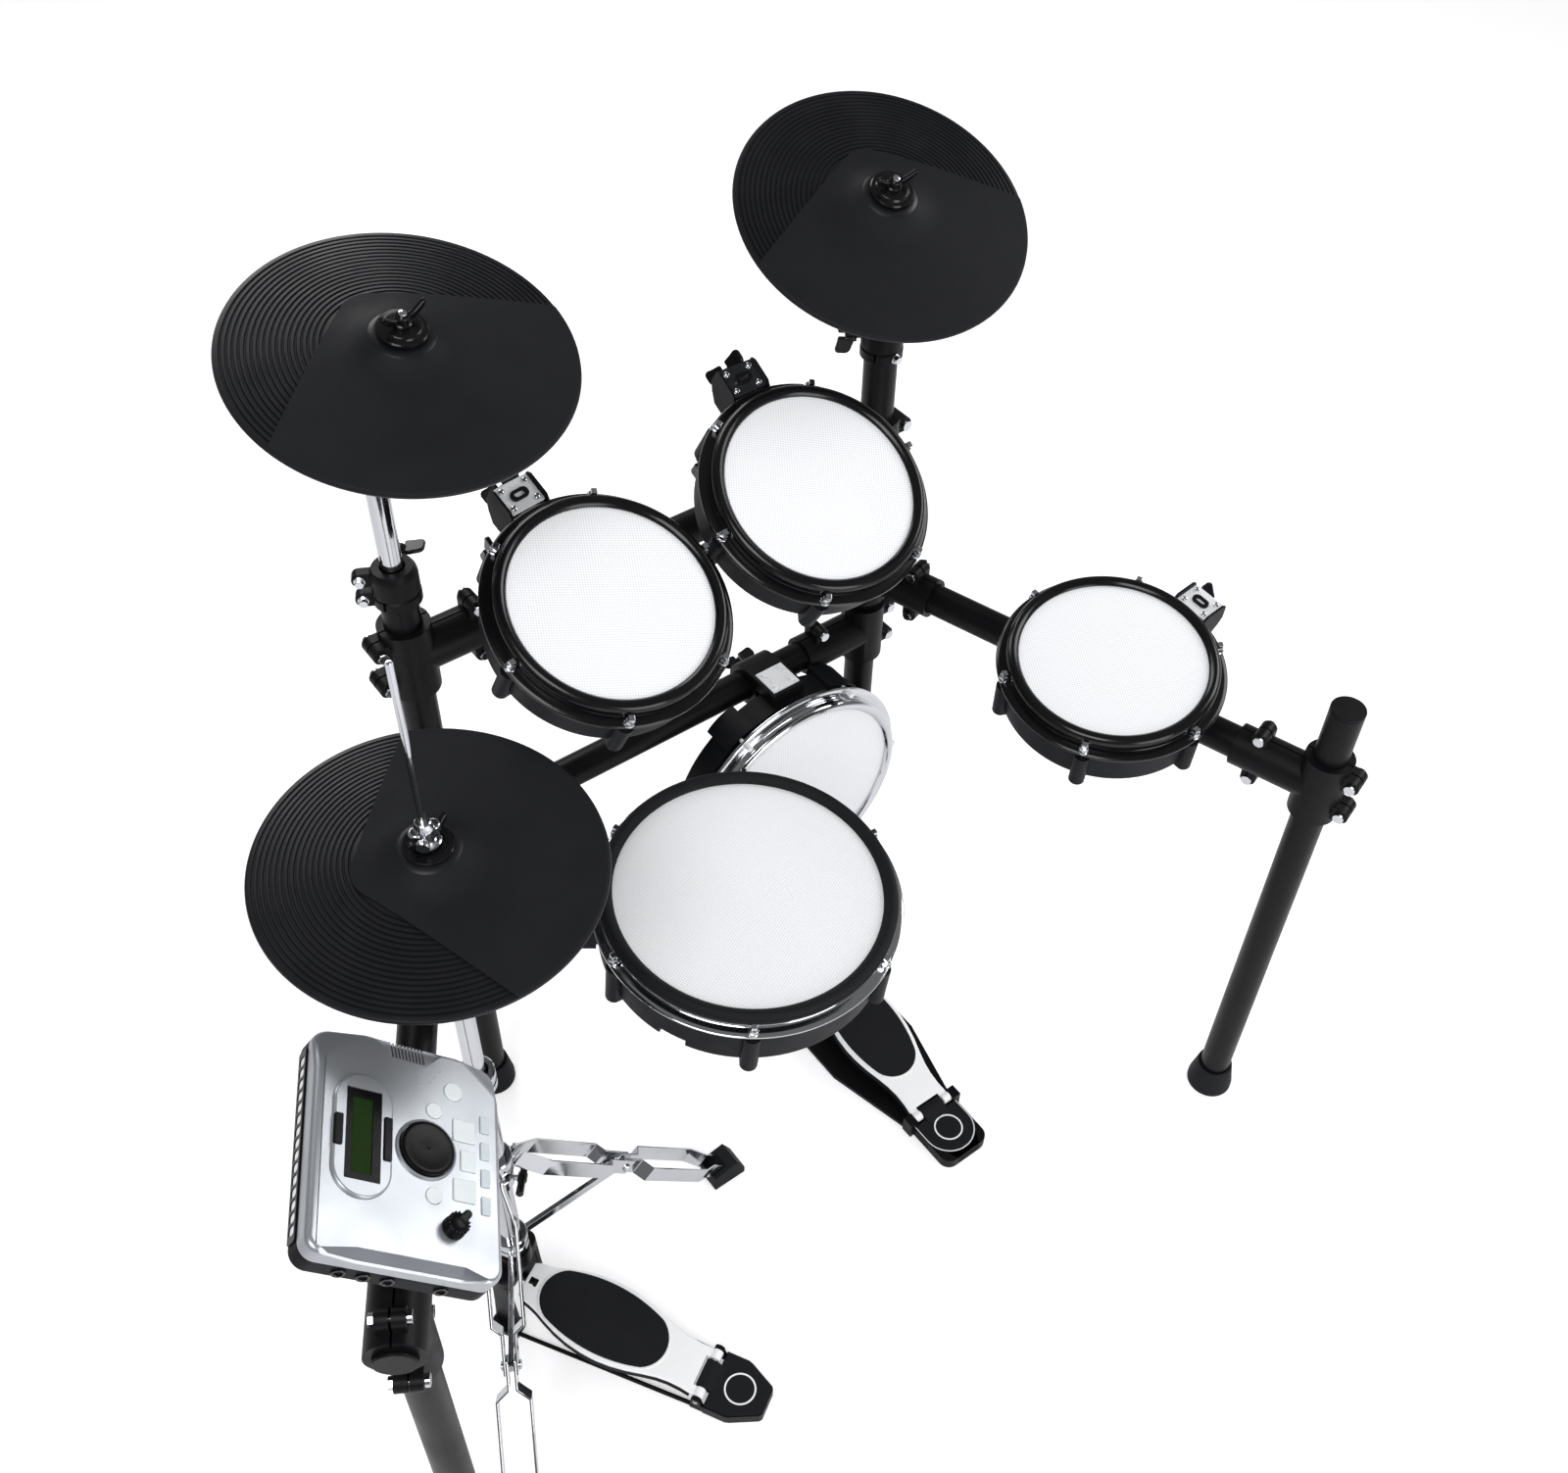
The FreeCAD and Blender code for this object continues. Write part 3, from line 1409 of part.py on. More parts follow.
pedal_run = compass(number("pedal_turn")) * -1
hihat_heel = hihat_spot - pedal_run * number("pedal_length")
hihat_pedal_place = frame_at(hihat_heel, pedal_run.cross(up), up)
kick_pedal_place = Placement(point("back_width / 2 - kick_inset", "kick_heel_y", "0"), Rotation())


def hihat_pedal():
    keep_group("hihat_footboard", [copies(board, board_lift), copies(board_pad, board_lift)],
               hihat_pedal_place)
    cheeks = []
    rods_low = []
    for sign in ("", "-"):
        corner = "frame_half - frame_width" if sign == "" else "-frame_half"
        cheeks.append(block("frame_width", "frame_length", "frame_height - frame_bridge",
                            (corner, "pedal_length - frame_length / 2", "0")))
        foot = point(f"{sign}(heel_half - brace_rod_radius)", "-heel_gap - brace_overlap",
                     "brace_rod_height")
        length = "pedal_length - frame_length / 2 + heel_gap + 2 * brace_overlap"
        rods_low.append(cylinder("brace_rod_radius", length, foot, ahead))
    bridge = block("2 * frame_half", "frame_length", "frame_bridge",
                   ("-frame_half", "pedal_length - frame_length / 2", "frame_height - frame_bridge"))
    socket_low = point("0", "pedal_length", "frame_height - slide_clearance")
    seat = point("0", "pedal_length", "frame_height")
    socket = cylinder("lower_tube_radius + tube_socket_wall", "tube_socket_height", socket_low)
    bore = cylinder("lower_tube_radius + slide_clearance", "2 * tube_socket_height", seat)
    rod_way = cylinder("hihat_rod_radius + rod_way_gap", "2 * frame_bridge",
                       seat - up * number("3 * frame_bridge / 2"))
    base = fused(copies(heel, Placement()), *rods_low, *cheeks, bridge, socket)
    keep_group("hihat_base", [less(base, bore, rod_way)], hihat_pedal_place)


def kick_pedal():
    hub_front = "post_place + hub_radius + head_gap"
    strap_run = number("board_length - strap_inset")
    strap_low = number("hinge_height") + strap_run * math.sin(math.radians(number("board_rise")))
    strap = block("strap_width", "strap_thickness", f"axle_height - {strap_low}",
                  ("-strap_width / 2", hub_front, f"{strap_low}"))
    tongue_start = "board_length - strap_inset"
    tongue = block("strap_width", f"{hub_front} + strap_thickness - ({tongue_start})", "strap_tongue",
                   ("-strap_width / 2", tongue_start, f"{strap_low}"))
    keep_group("kick_footboard", [fused(copies(board, board_lift), strap, tongue),
                                  copies(board_pad, board_lift)], kick_pedal_place)
    plate = doc.addObject("PartDesign::Body", "floor_plate")
    padded(plate, "XY_Plane", [
        ("heel_half", "-heel_gap"),
        ("floor_plate_half", "post_place / 2"),
        ("floor_plate_half", "post_place + post_length / 2 + plate_margin"),
        ("-floor_plate_half", "post_place + post_length / 2 + plate_margin"),
        ("-floor_plate_half", "post_place / 2"),
        ("-heel_half", "-heel_gap"),
    ], "floor_plate_thickness")
    uprights = []
    for start in ("post_half", "-post_half - post_width"):
        uprights.append(block("post_width", "post_length", "axle_height + post_rise",
                              (start, "post_place - post_length / 2", "0")))
    axle_hole = cylinder("axle_radius + hinge_clearance", "4 * post_half",
                         point("-2 * post_half", "post_place", "axle_height"), side)
    base = fused(copies(heel, Placement()), plate, *uprights)
    keep_group("kick_pedal_base", [less(base, axle_hole)], kick_pedal_place)
    beater = leaning(number("beater_lean"), -90)
    axle = point("0", "post_place", "axle_height")
    head = axle + beater * number("beater_length")
    front = Vector(0, beater.z, -beater.y)
    keep_group("kick_beater", [fused(
        cylinder("axle_radius", "2 * (post_half + post_width + axle_end)",
                 axle - side * number("post_half + post_width + axle_end"), side),
        cylinder("hub_radius", "hub_width", axle - side * number("hub_width / 2"), side),
        cylinder("beater_shaft_radius", "beater_length", axle, beater),
        cylinder("beater_head_radius", "beater_head_length",
                 head - front * number("beater_head_length / 2"), front),
    )], kick_pedal_place)


# Rubber under every tube, leg and stand that meets the floor
def rubber_feet():
    foot = rack_foot()
    ends = [Placement(spot, Rotation()) for spot in (back_left, back_right, front_right, front_left)]
    tip = doc.addObject("PartDesign::Body", "tip")
    padded(tip, "XZ_Plane", [
        ("-tip_length / 2", "0"),
        ("tip_length / 2", "0"),
        ("tip_length / 2", "tip_height / 3"),
        ("tip_length / 4", "tip_height"),
        ("-tip_length / 2", "tip_height * 0.8"),
    ], "tip_width", centred=True)
    slot = block("tip_slot_length", "leg_strip_width + 2 * slide_clearance",
                 "leg_strip_spread + leg_strip_thickness + 2 * slide_clearance",
                 ("-slide_clearance", "-leg_strip_width / 2 - slide_clearance",
                  "-leg_strip_spread / 2 - leg_strip_thickness / 2 - slide_clearance"))
    climb = point("leg_joint_radius - leg_foot_radius", "0", "leg_joint_height - leg_foot_height")
    leg_end = point("-leg_strip_width / 2", "0", "leg_foot_height")
    slot.Placement = Placement(leg_end, Rotation(climb, ahead.cross(climb), ahead, "XZY")) * slot.Placement
    tip = less(tip, slot)
    tips = []
    for step in (0, 120, 240):
        turn = number("leg_turn") + step
        reach = number("leg_foot_radius + leg_strip_width / 2")
        tips.append(spun(turn, hihat_spot + compass(turn) * reach))
    button = cylinder("pad_foot_radius", "pad_foot_height")
    bed = Vector(kick_spot.x, number("skirt_top + stand_bed_inset - kick_face"), 0)
    across = side * number("stand_width / 2 - pad_foot_radius")
    along = ahead * number("stand_length / 2 - pad_foot_radius")
    buttons = []
    for spot in (bed + across + along, bed + across - along, bed - across + along, bed - across - along):
        buttons.append(Placement(spot, Rotation()))
    keep_group("rubber_feet", [copies(foot, *ends), copies(tip, *tips), copies(button, *buttons)])


# The sound module: panel split at Z = 0, X to the drummer's right, Y up the panel
module_yaw = Rotation(up, number("module_turn"))
module_out = module_yaw.multVec(left_in)
module_right = module_yaw.multVec(left_run * -1)
module_foot = front_left + arm_level - left_run * number("module_inset")
module_hinge = module_foot + up * number("module_rise")
module_lean = math.radians(number("module_tilt"))
module_axis = up * math.cos(module_lean) + module_out * math.sin(module_lean)
module_climb = module_axis.cross(module_right)
module_centre = (module_hinge - module_right * number("module_shift")
                 + module_axis * number("pivot_drop") + module_climb * number("pivot_low"))
module_place = frame_at(module_centre, module_right, module_axis)

keys = {
    "soft_key_upper": ("bar", "screen_x", "soft_upper_y", "soft_upper_width", "soft_key_height"),
    "soft_key_lower": ("bar", "screen_x", "soft_lower_y", "soft_lower_width", "soft_key_height"),
    "round_key_right": ("round", "round_right_x", "round_right_y", "round_right_radius", "0"),
    "round_key_upper": ("round", "round_upper_x", "round_key_y", "round_key_radius", "0"),
    "round_key_left": ("round", "round_left_x", "round_key_y", "round_key_radius", "0"),
    "square_key_right": ("bar", "square_right_x", "square_key_y", "square_key_width", "square_key_height"),
    "square_key_middle": ("bar", "middle_key_x", "middle_key_y", "middle_key_width", "middle_key_height"),
    "square_key_left": ("bar", "square_left_x", "square_key_y", "square_key_width", "square_key_height"),
}
for step in range(4):
    keys[f"small_key_{step + 1}"] = ("bar", f"small_key_x + {step} * small_key_pitch", "small_key_y",
                                     "small_key_width", "small_key_height")


def key_solid(shape, x, y, first, second, grow, low, high):
    if shape == "round":
        return cylinder(f"{first} + {grow}", f"{high} - ({low})", point(x, y, low))
    return block(f"{first} + 2 * {grow}", f"{second} + 2 * {grow}", f"{high} - ({low})",
                 (f"{x} - {first} / 2 - {grow}", f"{y} - {second} / 2 - {grow}", low))


def module_outline():
    wide = "module_width / 2"
    tall = "module_height / 2"
    return [
        (wide, f"{tall} - module_corner"),
        (f"{wide} - module_corner", tall, "module_corner"),
        (f"module_corner - {wide}", tall),
        (f"-{wide}", f"{tall} - module_corner", "module_corner"),
        (f"-{wide}", f"module_corner - {tall}"),
        (f"module_corner - {wide}", f"-{tall}", "module_corner"),
        (f"{wide} - module_corner", f"-{tall}"),
        (wide, f"module_corner - {tall}", "module_corner"),
    ]


def sound_module():
    case = doc.addObject("PartDesign::Body", "case")
    case_block = padded(case, "XY_Plane", module_outline(), "case_depth", "-case_depth")
    panel = doc.addObject("PartDesign::Body", "panel")
    panel_block = padded(panel, "XY_Plane", module_outline(), "panel_depth")
    doc.recompute()
    rims = [f"Edge{index + 1}" for index, edge in enumerate(panel.Shape.Edges)
            if min(corner.Z for corner in edge.Vertexes) > number("panel_depth / 2")]
    bevel = panel.newObject("PartDesign::Chamfer", "bevel")
    bevel.Base = (panel_block, rims)
    bevel.setExpression("Size", cells("panel_bevel"))
    panel.Tip = bevel
    floors = [f"Edge{index + 1}" for index, edge in enumerate(case.Shape.Edges)
              if max(corner.Z for corner in edge.Vertexes) < -number("case_depth / 2")]
    belly = case.newObject("PartDesign::Chamfer", "belly")
    belly.Base = (case_block, floors)
    belly.setExpression("Size", cells("case_taper"))
    case.Tip = belly
    left_end = "screen_x - bezel_width / 2 + bezel_height / 2"
    right_end = "screen_x + bezel_width / 2 - bezel_height / 2"
    bezel = fused(
        block("bezel_width - bezel_height", "bezel_height", "bezel_rise",
              (left_end, "screen_y - bezel_height / 2", "panel_depth")),
        cylinder("bezel_height / 2", "bezel_rise", point(left_end, "screen_y", "panel_depth")),
        cylinder("bezel_height / 2", "bezel_rise", point(right_end, "screen_y", "panel_depth")),
    )
    floor = "panel_depth - well_depth"
    wells = [
        block("screen_width + 2 * slide_clearance", "screen_height + 2 * slide_clearance",
              "well_depth + bezel_rise",
              ("screen_x - screen_width / 2 - slide_clearance",
               "screen_y - screen_height / 2 - slide_clearance", floor)),
        cylinder("dial_radius + key_clearance", "dial_sink + bezel_rise",
                 point("dial_x", "dial_y", "panel_depth - dial_sink")),
        cylinder("stud_radius + hinge_clearance", "well_depth", point("dial_x", "dial_y", floor)),
        cylinder("stud_radius + hinge_clearance", "well_depth", point("knob_x", "knob_y", floor)),
    ]
    for shape, x, y, first, second in keys.values():
        wells.append(key_solid(shape, x, y, first, second, "key_clearance", floor,
                               "panel_depth + 2 * bezel_rise"))
    keep_group("module_panel", [less(fused(panel, bezel), *wells)], module_place)
    screen = block("screen_width", "screen_height", "well_depth + bezel_rise - screen_sink",
                   ("screen_x - screen_width / 2", "screen_y - screen_height / 2", floor))
    keep_group("module_screen", [screen], module_place)
    dial = point("dial_x", "dial_y", "panel_depth - dial_sink + head_gap")
    keep_group("module_dial", [fused(
        cylinder("dial_radius", "dial_height - dial_bevel", dial),
        cone("dial_radius", "dial_radius - dial_bevel", "dial_bevel",
             dial + up * number("dial_height - dial_bevel")),
        cylinder("stud_radius", "well_depth - dial_sink", point("dial_x", "dial_y", f"{floor} + head_gap")),
    )], module_place)
    knob = point("knob_x", "knob_y", "panel_depth + head_gap")
    pointer = block("knob_radius + pointer_reach", "pointer_width", "pointer_width",
                    ("0", "-pointer_width / 2", "knob_height - 3 * pointer_width / 2"))
    pointer.Placement = Placement(knob, Rotation(up, number("pointer_turn"))) * pointer.Placement
    keep_group("volume_knob", [fused(
        cone("knob_radius", "knob_radius * 4 / 5", "knob_height", knob),
        pointer,
        cylinder("stud_radius", "well_depth", point("knob_x", "knob_y", f"{floor} + head_gap")),
    )], module_place)
    for name, (shape, x, y, first, second) in keys.items():
        raised = "bezel_rise" if name.startswith("soft") else "0"
        low = f"{floor} + key_travel + head_gap"
        high = f"panel_depth + {raised} + key_proud"
        keep_group(name, [key_solid(shape, x, y, first, second, "0", low, high)], module_place)
    pivot = point("module_shift", "-pivot_low", "-pivot_drop")
    plate = block("mount_plate_length", "mount_plate_width", "mount_plate_thickness",
                  ("module_shift - mount_plate_length / 2", "-pivot_low - mount_plate_width / 2",
                   "-case_depth - mount_plate_thickness"))
    ears = []
    for start in ("pivot_half + head_gap", "-pivot_half - head_gap - pivot_ear"):
        low = point(f"module_shift + {start}", "-pivot_low", "-pivot_drop")
        ears.append(fused(
            cylinder("pivot_ear_radius", "pivot_ear", low, side),
            block("pivot_ear", "2 * pivot_ear_radius", "pivot_drop - case_depth - mount_plate_thickness",
                  (f"module_shift + {start}", "-pivot_low - pivot_ear_radius", "-pivot_drop")),
        ))
    hole = cylinder("pivot_radius + hinge_clearance", "4 * pivot_half",
                    pivot - side * number("2 * pivot_half"), side)
    keep_group("module_case", [case, less(fused(plate, *ears), hole)], module_place)


def module_bracket():
    run = "hanger_width"
    arm_way = Rotation(up, -number("module_turn")).multVec(side)
    start = arm_way * -number("hanger_width / 2")
    ring = cylinder("clamp_radius", run, start, arm_way)
    neck = cylinder("mount_neck_radius", "module_rise", Vector())
    head = cylinder("pivot_ear_radius", "2 * pivot_half", point("-pivot_half", "0", "module_rise"), side)
    pin = cylinder("pivot_radius", "2 * (pivot_half + pivot_ear + pivot_end)",
                   point("-pivot_half - pivot_ear - pivot_end", "0", "module_rise"), side)
    solid = less(fused(ring, neck, head, pin),
                 cylinder("tube_diameter / 2 + slide_clearance", run, start, arm_way))
    keep_group("module_bracket", [copies(solid, frame_at(module_foot, module_right, up))])


rack_tubes()
tube_caps()
rack_clamps()
mount_clamps()
toms()
snare()
kick()
kick_stand()
cymbals()
hihat_top()
hihat_stand()
hihat_pedal()
kick_pedal()
rubber_feet()
sound_module()
module_bracket()
doc.recompute()

for item in doc.Objects:
    if "Invalid" in item.State or "Error" in item.State:
        raise RuntimeError(f"{item.Label} did not build")
for item in nodes:
    if item.Shape.isNull() or not item.Shape.isValid():
        raise RuntimeError(f"{item.Label} has no sound shape")

os.makedirs("parts", exist_ok=True)
for item in nodes:
    item.Shape.exportStep(f"parts/{item.Label}.step")
print(len(nodes), "sub-parts written")
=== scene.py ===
import json
import math

import bpy
from mathutils import Matrix, Vector

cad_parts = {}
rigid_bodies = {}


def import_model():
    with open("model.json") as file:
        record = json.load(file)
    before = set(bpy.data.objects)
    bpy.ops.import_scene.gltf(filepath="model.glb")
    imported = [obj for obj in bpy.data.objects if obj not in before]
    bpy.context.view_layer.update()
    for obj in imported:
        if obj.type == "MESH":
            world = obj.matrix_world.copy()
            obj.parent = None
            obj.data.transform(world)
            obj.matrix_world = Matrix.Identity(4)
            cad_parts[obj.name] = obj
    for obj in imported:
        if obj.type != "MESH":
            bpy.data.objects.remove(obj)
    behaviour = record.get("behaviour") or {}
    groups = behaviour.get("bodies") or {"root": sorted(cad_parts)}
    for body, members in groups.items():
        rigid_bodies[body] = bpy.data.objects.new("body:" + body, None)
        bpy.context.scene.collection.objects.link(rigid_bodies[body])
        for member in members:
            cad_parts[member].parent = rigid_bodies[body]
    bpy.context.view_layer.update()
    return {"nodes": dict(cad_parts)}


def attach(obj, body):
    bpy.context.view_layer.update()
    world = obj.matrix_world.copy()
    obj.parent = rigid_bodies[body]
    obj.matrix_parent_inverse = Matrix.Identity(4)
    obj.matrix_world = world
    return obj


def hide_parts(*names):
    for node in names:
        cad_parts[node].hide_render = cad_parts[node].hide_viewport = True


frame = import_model()
nodes = frame["nodes"]
bpy.ops.object.select_all(action="DESELECT")
print("frame loaded:", len(nodes), "solids")


# Materials
def tint(code):  # sRGB hex to the linear colour a shader takes
    channels = [int(code[i:i + 2], 16) / 255 for i in (1, 3, 5)]
    return [c / 12.92 if c <= 0.04045 else ((c + 0.055) / 1.055) ** 2.4 for c in channels] + [1.0]


# A value goes on the socket, another node's output is linked; the new node's outputs come back
def addNode(material, kind, inputs, **settings):
    node = material.node_tree.nodes.new("ShaderNode" + kind)
    for name, value in settings.items():
        setattr(node, name, value)
    for name, value in inputs.items():
        if isinstance(value, bpy.types.NodeSocket):
            material.node_tree.links.new(value, node.inputs[name])
        else:
            node.inputs[name].default_value = value
    return node.outputs


def emptied(owner):  # a material or the world, its nodes cleared
    owner.use_nodes = True
    owner.node_tree.nodes.clear()
    return owner


def surface(name, tones, patchMm, rough, bump, grainMm=1.2, roughSpread=0.05, metal=0.0, coat=0.0, shine=0.5):
    material = emptied(bpy.data.materials.new(name))
    place = addNode(material, "TexCoord", {})["Object"]
    patches = addNode(material, "TexNoise", {"Vector": place, "Scale": 1000 / patchMm, "Detail": 3.0})[0]
    grain = addNode(material, "TexNoise", {"Vector": place, "Scale": 1000 / grainMm, "Detail": 2.0})[0]
    colour = addNode(material, "Mix", {0: patches, 6: tint(tones[0]), 7: tint(tones[1])}, data_type="RGBA")[2]
    sheen = addNode(material, "MapRange", {
        "Value": patches, "From Min": 0.3, "From Max": 0.7,
        "To Min": rough - roughSpread, "To Max": rough + roughSpread})[0]
    relief = addNode(material, "Bump", {"Height": grain, "Strength": bump, "Distance": grainMm / 2000})[0]
    shader = addNode(material, "BsdfPrincipled", {
        "Base Color": colour, "Roughness": sheen, "Normal": relief, "Metallic": metal, "Coat Weight": coat,
        "Coat Roughness": 0.15, "Specular IOR Level": shine,
    })[0]
    addNode(material, "OutputMaterial", {"Surface": shader})
    return material


# Steel tube, powder coated: deep black, satin, a faint orange peel
powderCoat = surface(
    "steelSatinPowderCoat", ("#0c0c0e", "#121214"), patchMm=60, grainMm=1.6, rough=0.34, bump=0.12, shine=0.14)
# Glass-filled nylon, moulded: charcoal black, fine spark texture
nylon = surface(
    "nylonMouldedBlack", ("#0d0d0f", "#131315"), patchMm=30, rough=0.4, roughSpread=0.06, bump=0.2, shine=0.14)
# Steel, chrome plated: bright mirror with faint handling haze
chrome = surface("steelChromePlate", ("#dfe1e4", "#cfd1d5"), patchMm=40, grainMm=6.0, rough=0.1, bump=0.01, metal=1.0)
# Natural rubber, compression moulded: dull blue-black with a powdery grain
rubber = surface("rubberMouldedMatte", ("#121316", "#18191d"),
                 patchMm=45, grainMm=1.3, rough=0.62, roughSpread=0.06, bump=0.25, shine=0.18)
# Natural rubber, moulded in a polished tool: satin, its rings catch thin highlights
rubberSatin = surface(
    "rubberMouldedSatin", ("#101114", "#15161a"), patchMm=45, grainMm=2.0, rough=0.36, bump=0.06, shine=0.32)
# ABS, moulded with a fine leather-like spark grain
absGrained = surface("absGrainedBlack", ("#0e0f11", "#151619"),
                     patchMm=35, grainMm=1.4, rough=0.44, roughSpread=0.06, bump=0.25, shine=0.12)
# ABS, polished tool: smooth semi-gloss black
absSmooth = surface("absSmoothBlack", ("#0a0a0c", "#101012"),
                    patchMm=50, grainMm=3.0, rough=0.18, roughSpread=0.04, bump=0.03, coat=0.1, shine=0.3)
# ABS, fine matt tool: soft black that holds few highlights, on the dial, the knob and the screen's frame
absMatt = surface("absMattBlack", ("#08080a", "#0d0d0f"), patchMm=20, rough=0.26, bump=0.05, shine=0.12)
# Aluminium, sand cast and tumbled: pale silver with a soft grain
castAluminium = surface("aluminiumCastSatin", ("#fafafb", "#f2f3f4"),
                        patchMm=25, grainMm=1.5, rough=0.36, roughSpread=0.06, bump=0.12, metal=0.12)
# Chrome-plated steel drawn pale, slightly bluish and clouded: its bright reflection painted into the colour
chromePaintedBright = surface("steelChromePaintedBrightReflection", ("#f4f5f7", "#e8eaed"),
                    patchMm=12, grainMm=2.0, rough=0.3, roughSpread=0.08, bump=0.04, metal=0.25)
# ABS in the module's silver paint, drawn darker on the slope along its front edge: a painted dark reflection
paintedSlopeReflection = surface(
    "absSilverPaintedDarkReflection", ("#64676d", "#5b5e64"), patchMm=50, rough=0.36, roughSpread=0.04, bump=0.06, metal=0.4)
# ABS painted silver: fine metallic flake under a satin lacquer
silverPaint = surface(
    "absSilverLacquer", ("#b6babf", "#abafb4"), patchMm=50, rough=0.3, roughSpread=0.04, bump=0.06, metal=0.72)
# Silicone, moulded: milky grey keys
silicone = surface("siliconeGreyKeys", ("#dde3e5", "#d3dadc"), patchMm=12, rough=0.5, bump=0.1)
# Silicone, moulded: the pale blue-grey of the small keys
keyBlue = surface("siliconeBlueGreyKeys", ("#c8d2d7", "#bdc8ce"), patchMm=12, rough=0.5, bump=0.1)
# Enamel, screened: the thin white ring on the heel plates, and the liner behind the openings of the case
whiteEnamel = surface("enamelScreenedWhite", ("#f2f3f4", "#e7e9eb"), patchMm=15, rough=0.45, bump=0.05)
# Acrylic window over a green panel
screenGreen = surface("acrylicGreenPanel", ("#16290b", "#1b300e"),
                      patchMm=20, grainMm=2.0, rough=0.5, roughSpread=0.03, bump=0.02, shine=0.06)
print("materials made")


def weave(name, spot, turn):  # polyester mesh, woven: white threads with fine shadowed holes
    material = emptied(bpy.data.materials.new(name))
    place = addNode(material, "TexCoord", {})["Object"]
    local = addNode(material, "Mapping", {"Vector": place, "Location": spot, "Rotation": turn},
                    vector_type="TEXTURE")[0]
    spacing = 2.6  # mm, drawn about twice the real thread spacing so that it shows
    wave = {"Vector": local, "Scale": 314 / spacing}  # at scale 1 a band repeats every 314 mm
    bands = [addNode(material, "TexWave", wave, bands_direction=way)["Fac"] for way in ("X", "Y")]
    threads = addNode(material, "Math", {0: bands[0], 1: bands[1]}, operation="MAXIMUM")[0]
    tones = {0: threads, 6: tint("#c9ccd2"), 7: tint("#f4f5f7")}
    colour = addNode(material, "Mix", tones, data_type="RGBA")[2]
    bump = addNode(material, "Bump", {"Height": threads, "Strength": 0.2, "Distance": 0.0004})[0]
    shader = addNode(material, "BsdfPrincipled",
                     {"Base Color": colour, "Roughness": 0.6, "Normal": bump, "Sheen Weight": 0.2})[0]
    addNode(material, "OutputMaterial", {"Surface": shader})
    return material


# Turns in degrees, moves in millimetres
def spun(degrees, axis="Z"):
    return Matrix.Rotation(math.radians(degrees), 4, axis)


def shifted(x, y, z):
    return Matrix.Translation(Vector((x, y, z)) / 1000)


def placed(spot, x, z):  # a point, and the way X and Z go from there
    return shifted(*spot) @ Matrix((x, Vector(z).cross(Vector(x)), z)).transposed().to_4x4()


upright = spun(90, "X")  # stands a slab on its edge
across = spun(-90, "X")  # lays an upright axis along Y
sideways = spun(90, "Y")  # lays an upright axis along X
endways = Matrix(((0, 0, 1), (1, 0, 0), (0, 1, 0))).to_4x4()  # a slab drawn in Y and Z, its thickness along X

# Where each drum, cymbal, pedal and the module stand
places = {
    "tom_1": placed((-70.22, 85.96, 888.58), (0.38765, 0.83439, 0.39182), (0.06297, -0.44803, 0.8918)),
    "tom_2": placed((184.56, 97.3, 901.79), (0.48156, 0.76048, 0.43563), (0.01229, -0.50287, 0.86427)),
    "tom_3": placed((410.22, -132.58, 716.65), (0.88603, -0.46175, 0.04174), (-0.10551, -0.11315, 0.98796)),
    "snare": placed((-36.16, -86.25, 603.45), (-0.43951, 0.89302, 0.09672), (0.02234, -0.09677, 0.99506)),
    "kick": placed((219.38, 152.43, 362.0), (1, 0, 0), (0, -1, 0)),
    "crash": placed((-182.51, 209.24, 1146.42), (0.15075, -0.95177, -0.26724), (0.04181, -0.26395, 0.96363)),
    "ride": placed((345.68, 208.65, 1113.02), (-0.15187, -0.89793, -0.4131), (-0.06889, -0.40732, 0.91068)),
    "hihat": placed((-343.63, -51.55, 847.0), (0.9816, -0.18755, -0.03576), (0.01829, -0.09408, 0.9954)),
    "module": placed((-481.94, -227.31, 735.63), (0.47869, 0.87798, 0), (0.52101, -0.28406, 0.80489)),
    "hihatPedal": placed((-221.13, -263.72, 0), (0.86603, 0.5, 0), (0, 0, 1)),
    "kickPedal": placed((219.38, -147.57, 0), (1, 0, 0), (0, 0, 1)),
    "hihatStand": placed((-343.63, -51.55, 0), (1, 0, 0), (0, 0, 1)),
}

# The finish of each solid that is shown as it is, or with its edges rounded
finishes = {
    "rack_tubes": powderCoat, "t_clamps": nylon, "rod_clamps": nylon, "tube_caps": nylon, "module_bracket": nylon,
    "clamp_bolts": chrome, "pad_rods": chrome, "cymbal_arms": chrome, "kick_beater": chrome, "rubber_feet": rubber,
    # kick_hardware is chrome; its pale colour is a painted bright reflection
    "kick_hardware": chromePaintedBright, "kick_pedal_base": powderCoat, "kick_stand": powderCoat, "module_case": absGrained,
}
for drum in ("tom_1", "tom_2", "tom_3", "snare", "kick"):
    spot, turn, _ = places[drum].decompose()
    finishes[f"{drum}_head"] = weave(f"polyesterMeshWoven_{drum}", spot, turn.to_euler())
    finishes[f"{drum}_shell"] = absGrained
for name, finish in finishes.items():
    nodes[name].data.materials.clear()
    nodes[name].data.materials.append(finish)
print("solids finished")


# Ways of working
def enter(mode):
    bpy.ops.object.mode_set(mode=mode)


def pulled(step):  # what is selected, extruded
    bpy.ops.mesh.extrude_region_move(TRANSFORM_OT_translate={"value": step})


def drawn(name, points):  # a point led along a line in millimetres, left in edit mode
    bpy.ops.object.select_all(action="DESELECT")
    bpy.ops.mesh.primitive_plane_add(size=0.01)
    piece = bpy.context.object
    piece.name = name
    piece.data.name = name
    enter("EDIT")
    bpy.ops.mesh.select_all(action="SELECT")
    bpy.ops.mesh.merge(type="CENTER")
    bpy.ops.transform.translate(value=Vector(points[0]) / 1000)
    for start, end in zip(points, points[1:]):
        pulled((Vector(end) - Vector(start)) / 1000)
    bpy.ops.mesh.select_all(action="SELECT")
    return piece


def closeUp():  # doubles merged and faces turned outwards
    bpy.ops.mesh.select_all(action="SELECT")
    bpy.ops.mesh.remove_doubles(threshold=0.00001)
    bpy.ops.mesh.normals_make_consistent(inside=False)
    enter("OBJECT")


